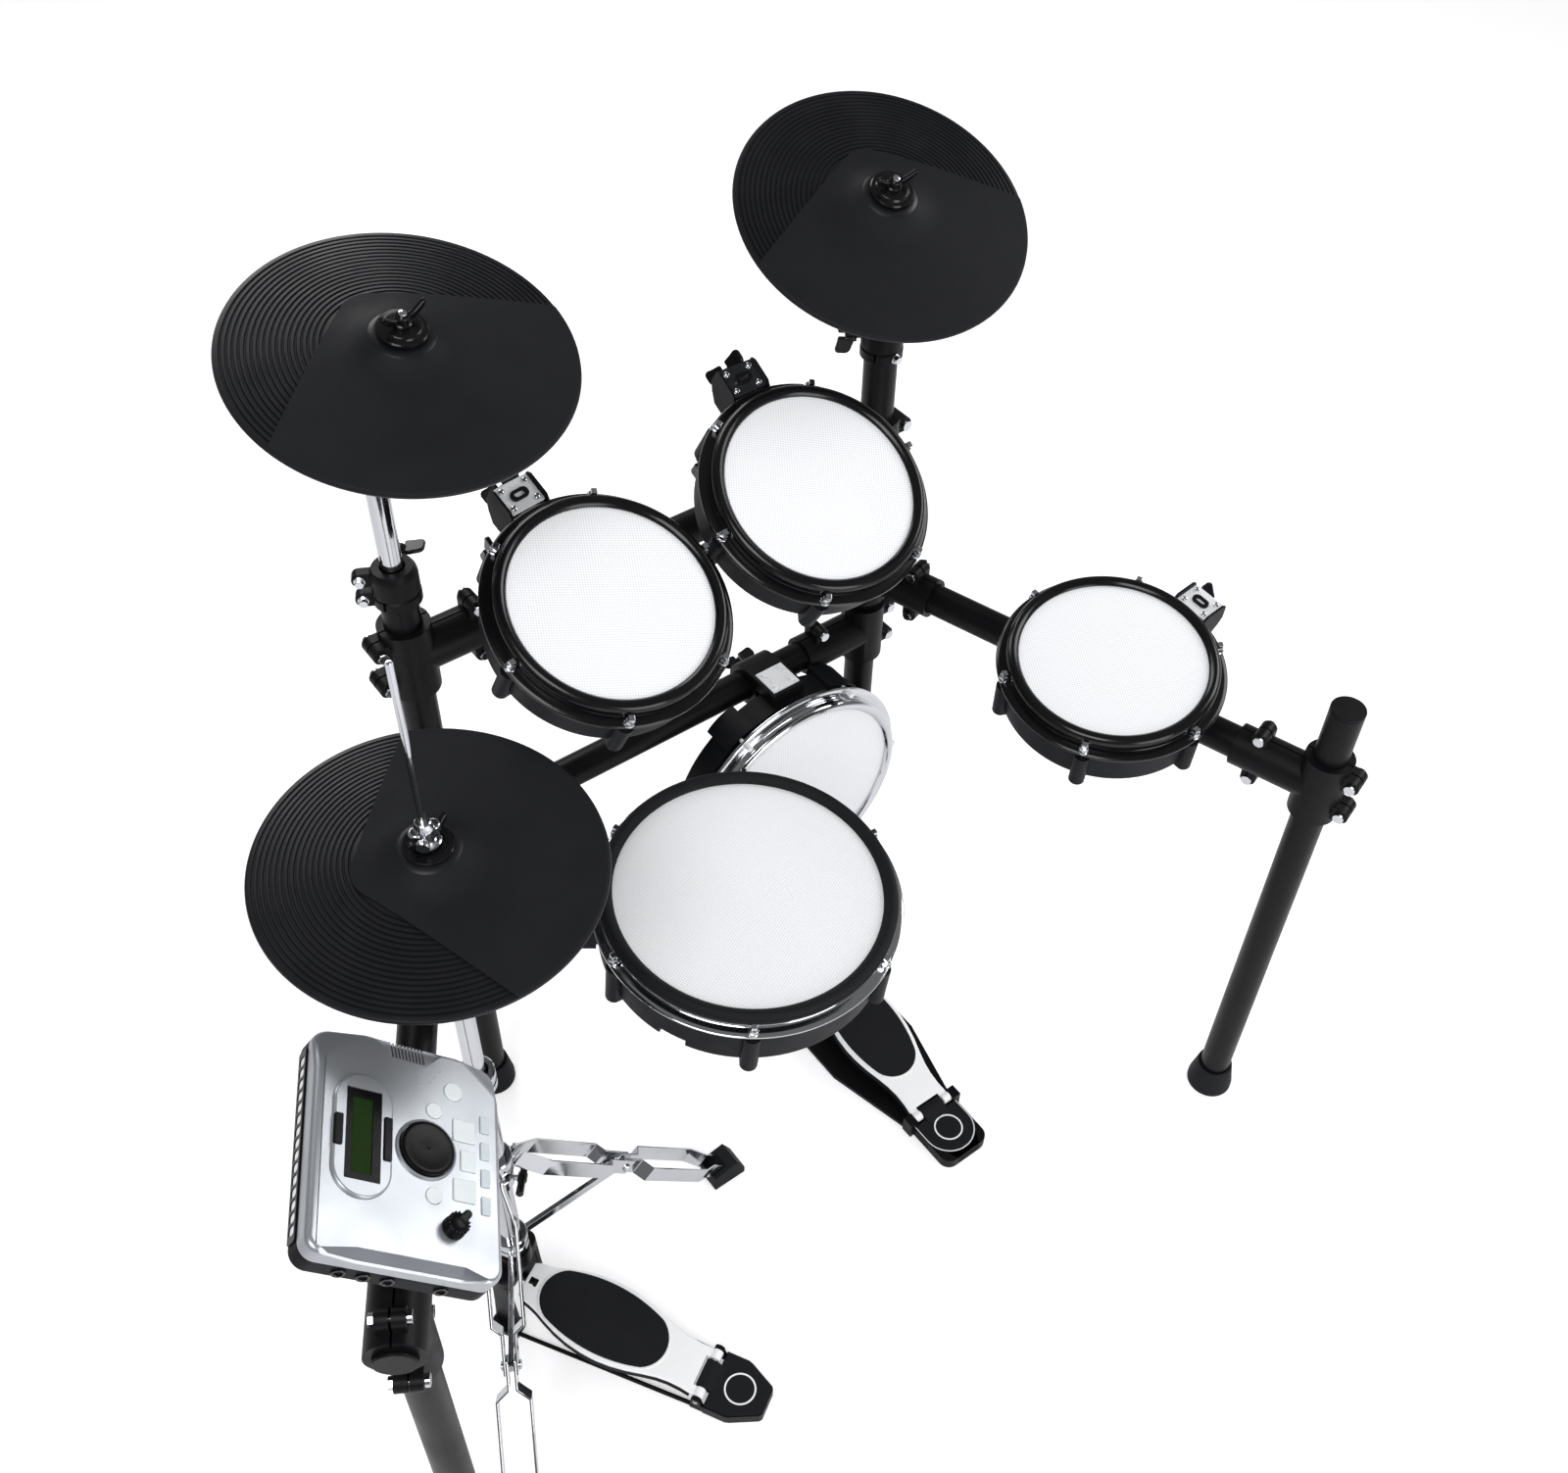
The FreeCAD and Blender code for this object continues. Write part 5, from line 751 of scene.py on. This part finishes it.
def rodPiece(start, end, radius):
    start, end = Vector(start), Vector(end)
    length = (end - start).length
    rod = turned("baseRod", [(0, 0), (radius * 0.8, 0), (radius, radius * 0.2), (radius, length - radius * 0.2),
                             (radius * 0.8, length), (0, length)], 24)
    run = (end - start).normalized()
    return moved(rod, placed(start, Vector((0, 0, 1)).cross(run).normalized(), run))


def framePiece():  # the upright frame over the toe, the stand's socket and the two long rods to the heel
    bridge = slab("frameBridge", roundRect(0, 248, 72, 30, 13, 8), 98, 118)
    crowned(crowned(bridge, 3, 4), 2, 3, -1)
    socket = ringed("frameSocket", [(13, 117), (19, 117), (19.7, 119), (19.7, 141), (18.6, 143), (13, 143)], 48)
    pieces = [bridge, moved(socket, shifted(0, 245, 0))]
    for side in (-1, 1):
        post = slab("framePost", [(232, 0), (264, 0), (260, 60), (258, 104), (238, 104), (236, 60)], -4, 4)
        moved(softened(post, 1.6, 3), shifted(side * 31, 0, 0) @ endways)
        foot = crowned(slab("frameFoot", roundRect(side * 34, 248, 24, 38, 5, 5), 0, 9), 1.6, 3)
        pieces += [post, foot, rodPiece((side * 33, -14, 7), (side * 41, 246, 7), 2.6)]
    carved(bridge, slab("rodWay", arc(0, 245, 5.6, 0, 345, 23), 90, 130))
    return joined(*pieces)


boardLift = shifted(0, 0, footboard["hinge"]) @ spun(footboard["rise"], "X")
for kind, node, body in (("hihat", "hihat_footboard", "hihat_pedal"), ("kick", "kick_footboard", "kick_pedal")):
    at = places[f"{kind}Pedal"]
    board = boardPiece()
    cover = crowned(slab("boardCover", ovalOutline(0), footboard["padLow"], footboard["padTop"]), 1.5, 4)
    # A black skirt under the board, joined to the rubber pad: painted shade standing for the board's shaded side
    skirt = [(29.3, 10)] + [(x - 0.2, y) for x, y in boardSide] + [(24.4, 230)]
    shadeSkirt = slab("boardShadeSkirt", mirrored(skirt), footboard["shadeSkirtLow"], footboard["shadeSkirtTop"])  # painted shade: a black skirt for the board's shaded side
    cover = joined(cover, crowned(shadeSkirt, 1, 2, -1))
    block, pin, heel, ring = heelPieces(kind)
    for piece, name in ((board, "Board"), (cover, "BoardCover"), (block, "HeelBlock"), (pin, "HeelPin"),
                        (heel, "HeelCover"), (ring, "HeelRing")):
        piece.name = f"{kind}{name}"
    settle(board, at @ boardLift, body, castAluminium, "cast_aluminium", node)
    settle(cover, at @ boardLift, body, rubber, "black_rubber")
    settle(pin, at, "rack", chrome, "chrome")
    settle(heel, at, "rack", rubber, "black_rubber")
    if kind == "hihat":
        base = joined(block, framePiece())
        base.name = "hihatBase"
        settle(base, at, "rack", powderCoat, "pedal_paint", "hihat_base")
    else:
        settle(block, at, "rack", powderCoat, "pedal_paint")
    settle(ring, at, "rack", whiteEnamel, "cast_aluminium")
settle(strapPiece(), places["kickPedal"], "kick_pedal", nylon, "black_nylon")
print("footboards made")


# Hi-hat stand: two tubes, collars and a tripod of paired strips, widened along each leg and pinched at its joints
stand = {"legTurns": (0, 120, 240), "collars": (336, 164, 500), "top": (15, 336), "low": (15, 164),
         "joint": (152, 172), "foot": (284, 24), "stripWidth": 20, "stripThickness": 2.5, "sensorTop": 818.4,
         "screwHeight": 302}


def ribbon(name, path, width):  # a strip bent in plan, stood on its edge and thickened
    piece = drawn(name, [(u, v, -width / 2) for u, v in path])
    pulled((0, 0, width / 1000))
    closeUp()
    worked(piece, "SOLIDIFY", thickness=stand["stripThickness"] / 1000, offset=0.0)
    return softened(piece, 0.5)


def legPieces(turn):
    angle = math.radians(turn)
    out, side = Vector((math.cos(angle), math.sin(angle), 0)), Vector((-math.sin(angle), math.cos(angle), 0))
    pieces = []
    for start, end, path, width in (
        ("top", "joint", [(7, 6), (14, 6), (56, 17), (166, 17), (175, 7), (221, 7)], stand["stripWidth"]),
        ("joint", "foot", [(-8, 4.4), (24, 4.4), (36, 18), (150, 18), (176, 9), (194, 9)], stand["stripWidth"]),
        ("low", "joint", [(5, 1.4), (142, 1.4)], 12),
    ):
        ends = [out * stand[spot][0] + Vector((0, 0, stand[spot][1])) for spot in (start, end)]
        run = (ends[1] - ends[0]).normalized()
        at = placed(ends[0], run, run.cross(side))
        for sign in (1, -1):
            pieces.append(moved(ribbon("legStrip", [(u, v * sign) for u, v in path], width), at))
    rivet = turned("legRivet", [
        (0, -11.4), (3.6, -11.4), (5, -10.4), (5, -8.4), (3, -8.4), (3, 8.4), (5, 8.4), (5, 10.4), (3.6, 11.4),
        (0, 11.4)], 36)
    spot = out * stand["joint"][0] + Vector((0, 0, stand["joint"][1]))
    pieces.append(moved(rivet, placed(spot, out, side)))
    return pieces


def standPieces():
    sensor = stand["sensorTop"]
    lower = ringed("standLower", [(10.3, 118), (12.7, 118), (12.7, 498.6), (12, 500), (10.3, 500)], 48)
    upper = ringed("standUpper", [(7.5, 420), (10, 420), (10, sensor - 13.8), (7.5, sensor - 13.8)], 48)
    pieces = [lower, upper]
    for level in stand["collars"]:
        pieces.append(ringed("standCollar", [
            (12.9, -13), (17.6, -13), (19, -11.6), (19, -4), (18, -3), (18, 3), (19, 4), (19, 11.6), (17.6, 13),
            (12.9, 13)], 48, up=level))
    for turn in stand["legTurns"]:
        pieces += legPieces(turn)
    screw = turned("standScrew", [(0, 12), (3.2, 12), (3.2, 25), (0, 25)], 36)
    ring = ringed("standScrewRing", [(12.9, -9), (16, -9), (16.8, -8), (16.8, 8), (16, 9), (12.9, 9)], 48)
    toView = shifted(0, 0, stand["screwHeight"]) @ spun(-38)
    pieces += [moved(screw, toView @ sideways), moved(ring, toView)]
    handle = turned("standHandle", [
        (0, -23), (3.2, -23), (4.4, -21.6), (4, -7), (5.4, -4.6), (5.4, 4.6), (4, 7), (4.4, 21.6), (3.2, 23),
        (0, 23)], 36)
    moved(handle, toView @ shifted(26, 0, 0) @ spun(80, "X"))
    cup = ringed("standCup", [
        (3.6, -14), (22, -14), (25, -12.8), (26, -11), (26, -2.8), (24.8, -1), (23, -0.2), (9.5, -0.2), (9.5, -6.4),
        (3.6, -6.4)], 64, up=sensor)
    return joined(*pieces), joined(handle, cup)


standBright, standBlack = standPieces()
settle(standBright, places["hihatStand"], "rack", chrome, "chrome", "hihat_stand", crease=12)
settle(standBlack, places["hihatStand"], "rack", absSmooth, "black_nylon")
print("hi-hat stand made")


# Sound module: X to its right, Y up its face, the face at 16 above the split with the case
moduleFace = {"width": 198, "height": 165, "corner": 14, "top": 16, "rim": 5, "bezelTop": 19, "gap": 0.35,
              "screen": (3.6, 41.5, 80, 30), "window": (3.2, 42.2, 66, 17.4), "bezel": (3.6, 41.5, 108, 51),
              "dial": (4, -14), "dialRadius": 23.5, "knob": (-59, -38), "pointerTurn": -40,
              "keyLow": 8.6, "keyTop": 17.6, "softRise": 3, "slits": 10, "slitFirst": 16.6, "slitPitch": 3.1}
keyPlaces = {
    "soft_key_upper": (3.6, 62.7, 27, 7), "soft_key_lower": (3.6, 20.8, 38, 7),
    "round_key_right": (63.3, -38.4, 16.6, 16.6), "round_key_upper": (41.3, -21, 14, 14),
    "round_key_left": (-34.9, -21, 14, 14), "square_key_right": (28.3, -48, 19.5, 20),
    "square_key_middle": (1.8, -51.5, 18, 13.5), "square_key_left": (-25.1, -48, 19.5, 20),
    "small_key_1": (-34.6, -67.2, 15.5, 8), "small_key_2": (-10.15, -67.2, 15.5, 8),
    "small_key_3": (14.3, -67.2, 15.5, 8), "small_key_4": (38.75, -67.2, 15.5, 8),
}


def keyOutline(name, grow):
    x, y, width, height = keyPlaces[name]
    if name.startswith("round"):
        return arc(x, y, width / 2 + grow, 0, 350, 35)
    return roundRect(x, y, width + 2 * grow, height + 2 * grow, 1.2 + grow, 3)


def slanted(piece, spot, turn):  # tipped down along X about a point
    away = shifted(*spot)
    return moved(piece, away @ spun(turn, "Y") @ away.inverted())


def openings(keys):  # the cutters for the screen and these keys
    x, y, width, height = moduleFace["screen"]
    screen = slab("screenCut", roundRect(x, y, width + 0.4, height + 0.4, 0.6, 2), 7, 25)
    return [screen] + [slab("keyCut", keyOutline(name, moduleFace["gap"]), 7, 25) for name in keys]


def panelPiece():
    face = moduleFace
    body = slab("panelSilver", roundRect(0, 0, face["width"], face["height"], face["corner"], 8), 0.2, face["top"])
    pick(body)
    enter("EDIT")
    for spot, normal in (((66.4, 72.9, 16), (0.23, 0.225, 0.947)), ((93.1, -47.8, 16), (0.24, -0.21, 0.947))):
        bpy.ops.mesh.select_all(action="SELECT")
        bpy.ops.mesh.bisect(plane_co=Vector(spot) / 1000, plane_no=normal, use_fill=True, clear_outer=True)
    enter("OBJECT")
    crowned(body, face["rim"], 5)
    x, y, width, height = face["bezel"]
    reach, radius = (width - height) / 2, height / 2
    outline = arc(x + reach, y, radius, -90, 90, 28) + arc(x - reach, y, radius, 90, 270, 28)
    bezel = crowned(slab("panelBezel", outline, 14, face["bezelTop"]), 2.4, 4)
    front = drawn("panelFrontCut", [
        (-95.5, 76, 16.3), (-107, 76, 8.5), (-122, 76, 8.5), (-122, 76, 30), (-95.5, 76, 30)])
    bpy.ops.mesh.edge_face_add()
    for step in ((7, -35, 0), (0, -89, 0), (-8, -24, 0)):
        pulled(Vector(step) / 1000)
    closeUp()
    vent = slab("ventCut", [(99, 35), (82.4, 18.4), (80.8, -13.4), (99, -33)], 16, 30)
    slanted(vent, (81.6, 0, 16), 16)
    cutters = [front, vent, slab("creaseCut", roundRect(-1.5, 74.6, 183, 0.9, 0.4, 2), 14.4, 20)]
    for count in range(face["slits"]):
        y = face["slitFirst"] - count * face["slitPitch"]
        cutters.append(slab("slitCut", [(83, y), (83, y - 1.5), (102, y - 1.5), (102, y)], 8, 22))
    cutters += openings(keyPlaces)
    for hole in openings(("soft_key_upper", "soft_key_lower")):
        carved(bezel, hole)
    x, y = face["dial"]
    cutters.append(slab("dialCut", arc(x, y, face["dialRadius"] + 0.4, 0, 354, 59), 12, 25))
    carved(body, *cutters)
    ring = ringed("dialRing", [
        (24, 15), (26.6, 15), (26.8, 16.6), (26.2, 17.8), (25.2, 18.1), (24.3, 17.6), (24, 16.6)], 96)
    moved(ring, shifted(x, y, 0))
    # The slope along the front edge: a copy of the panel, lifted a little, that carries the painted dark reflection
    slope = slab("slopeArea", [(-94.6, 71), (-89.5, 41.5), (-89.5, -48.5), (-95.8, -69), (-97.2, -62), (-97.2, 64)],
                 0, 30)
    strip = carved(twin(body, "panelSlopeDarkReflection"), slope, operation="INTERSECT")
    return joined(body, bezel, ring), moved(strip, shifted(0, 0, 0.2))


def dialPiece():
    dial = turned("dialGloss", [
        (0, 20.1), (1.4, 20.2), (2.2, 20.6), (9, 20.3), (17, 20.6), (19.6, 21), (21.8, 20.9), (23.1, 20.1),
        (23.5, 18.6), (23.5, 12.3), (4, 12.3), (4, 7.3), (0, 7.3)], 96)
    x, y = moduleFace["dial"]
    return moved(dial, shifted(x, y, 0))


def knobPiece():
    body = turned("knobBody", [
        (0, 28.8), (5.6, 28.6), (7.4, 27.8), (8.3, 26), (8.7, 22), (9.2, 19), (10, 18), (10, 16.4), (4, 16.4),
        (4, 7.3), (0, 7.3)], 64)
    fin = slab("knobFin", [(0, -4.4), (7.6, -3.6)] + arc(9.4, 0, 3.6, -75, 75, 8) + [(7.6, 3.6), (0, 4.4)], 17.2, 30)
    softened(fin, 1.6, 3)
    grips = []
    for turn in range(40, 321, 20):
        angle = math.radians(turn)
        spot = (8.9 * math.cos(angle), 8.9 * math.sin(angle))
        grips.append(slab("knobGrip", arc(*spot, 0.8, 0, 315, 7), 18.4, 26.4))
    knob = joined(body, fin, *grips)
    x, y = moduleFace["knob"]
    return moved(knob, shifted(x, y, 0) @ spun(moduleFace["pointerTurn"]))


def screenPieces():
    x, y, width, height = moduleFace["screen"]
    border = slab("screenFrame", roundRect(x, y, width, height, 0.6, 2), 7.2, 18.2)
    x, y, width, height = moduleFace["window"]
    carved(border, slab("windowCut", roundRect(x, y, width, height, 0.8, 2), 17.2, 22))
    window = slab("screenWindow", roundRect(x, y, width - 0.1, height - 0.1, 0.8, 2), 17.21, 17.5)
    return softened(border, 0.25), softened(window, 0.1)


moduleAt = places["module"]
panel, panelSlopeDarkReflection = panelPiece()
settle(panel, moduleAt, "module", silverPaint, "panel_silver", "module_panel")
# The slope in a darker silver: painted dark reflection
settle(panelSlopeDarkReflection, moduleAt, "module", paintedSlopeReflection, "panel_silver")
settle(dialPiece(), moduleAt, "dial", absMatt, "dial_grey", "module_dial")
settle(knobPiece(), moduleAt, "knob", absMatt, "dial_grey", "volume_knob")
screenFrame, screenWindow = screenPieces()
settle(screenFrame, moduleAt, "module", absMatt, "case_black", "module_screen")
settle(screenWindow, moduleAt, "module", screenGreen, "screen_green")
for name in keyPlaces:
    soft = name.startswith("soft")
    top = moduleFace["keyTop"] + (moduleFace["softRise"] if soft else 0)
    key = slab(f"{name}_cap", keyOutline(name, 0), moduleFace["keyLow"], top)
    crowned(key, 0.7, 3)
    finish = absMatt if soft else keyBlue if name.startswith("small") else silicone
    settle(key, moduleAt, name, finish, "key_grey", name)


# Module case: a band of openings along its upper side and sockets in its left end
def bandPieces():
    band = slab("caseBand", roundRect(0, 0, 168, 13, 3, 4), 0, 1.8)
    liner = slab("caseLiner", roundRect(0, 0, 160, 10, 3, 4), 0, 0.5)
    pitch, toEnd = 10.5, 7  # the openings' spacing, and how many lie on either side of the middle one
    carved(band, *[slab("bandCut", roundRect(count * pitch, 0, 8, 8, 2.7, 4), 0.6, 4)
                   for count in range(-toEnd, toEnd + 1)])
    side = shifted(0, 82.2, -7.5) @ across
    return moved(softened(band, 0.4), side), moved(liner, side @ shifted(0, 0, 0.3))


def socketPiece():
    ring = ringed("socketRing", [(3.3, -3), (3.3, 1), (3.8, 1.6), (5.4, 1.6), (5.8, 1.2), (5.8, -0.5)], 32)
    return moved(ring, spun(-90, "Y"))


dressed("module_case", "module", "case_black", 2.2)
caseBand, caseLiner = bandPieces()
settle(caseBand, moduleAt, "module", absSmooth, "case_black")
settle(caseLiner, moduleAt, "module", whiteEnamel, "panel_silver")
sockets = [moved(socketPiece(), shifted(-99, y, -7.8)) for y in (45, 25, 5, -40)]
settle(joined(*sockets), moduleAt, "module", absSmooth, "case_black")
print("module made")


# Camera, floor and light
view = {"spot": (-0.65227, -0.92412, 1.91686), "pitch": 46.22, "heading": 51.94, "roll": 1.6, "lens": 37.71}


def addCamera():
    pitch, heading, roll = (math.radians(view[name]) for name in ("pitch", "heading", "roll"))
    forward = Vector((math.cos(pitch) * math.cos(heading), math.cos(pitch) * math.sin(heading), -math.sin(pitch)))
    level = Vector((math.sin(heading), -math.cos(heading), 0))
    above = level.cross(forward)
    right = level * math.cos(roll) + above * math.sin(roll)
    top = above * math.cos(roll) - level * math.sin(roll)
    camera = bpy.data.objects.new("camera", bpy.data.cameras.new("camera"))
    bpy.context.scene.collection.objects.link(camera)
    camera.data.lens = view["lens"]
    camera.data.sensor_width = 36.0
    camera.matrix_world = Matrix.Translation(view["spot"]) @ Matrix((right, top, -forward)).transposed().to_4x4()
    bpy.context.scene.camera = camera


def addFloor():
    bpy.ops.mesh.primitive_plane_add(size=30, location=(0, 0, -0.0005))
    floor = bpy.context.object
    floor.name = "floor"
    material = emptied(bpy.data.materials.new("paperBackdrop"))
    seen = addNode(material, "LightPath", {})
    glow = addNode(material, "Math", {0: seen["Is Camera Ray"], 1: 0.4}, operation="MULTIPLY")[0]
    shader = addNode(material, "BsdfPrincipled", {
        "Base Color": tint("#eeeef0"), "Roughness": 0.9, "Emission Color": (1, 1, 1, 1), "Emission Strength": glow,
    })[0]
    addNode(material, "OutputMaterial", {"Surface": shader})
    floor.data.materials.append(material)


def addLamp(name, spot, size, power):
    lamp = bpy.data.objects.new(name, bpy.data.lights.new(name, "AREA"))
    bpy.context.scene.collection.objects.link(lamp)
    lamp.data.shape = "SQUARE"
    lamp.data.size = size
    lamp.data.energy = power
    lamp.location = spot
    lamp.rotation_euler = (Vector((0, 0, 0.6)) - Vector(spot)).to_track_quat("-Z", "Y").to_euler()


def addWorld():
    world = emptied(bpy.data.worlds.new("studio"))
    bpy.context.scene.world = world
    seen = addNode(world, "LightPath", {})
    dimmed = addNode(world, "MapRange", {"Value": seen["Is Glossy Ray"], "To Min": 0.58, "To Max": 0.17})[0]
    strength = addNode(world, "Math", {0: dimmed, 1: seen["Is Camera Ray"]}, operation="MAXIMUM")[0]
    sky = addNode(world, "Background", {"Color": (1, 1, 1, 1), "Strength": strength})[0]
    addNode(world, "OutputWorld", {"Surface": sky})


addCamera()
addFloor()
addLamp("keyBox", (-1.6, -1.4, 3.2), 1.6, 46)
addLamp("sideBox", (2.6, -0.6, 2.2), 1.4, 28)
addLamp("backBox", (0.4, 2.6, 2.6), 1.6, 30)
addLamp("frontBox", (0.3, -2.8, 1.1), 1.4, 26)
addWorld()
bpy.context.scene.view_settings.view_transform = "Standard"
print("camera, floor and light set")
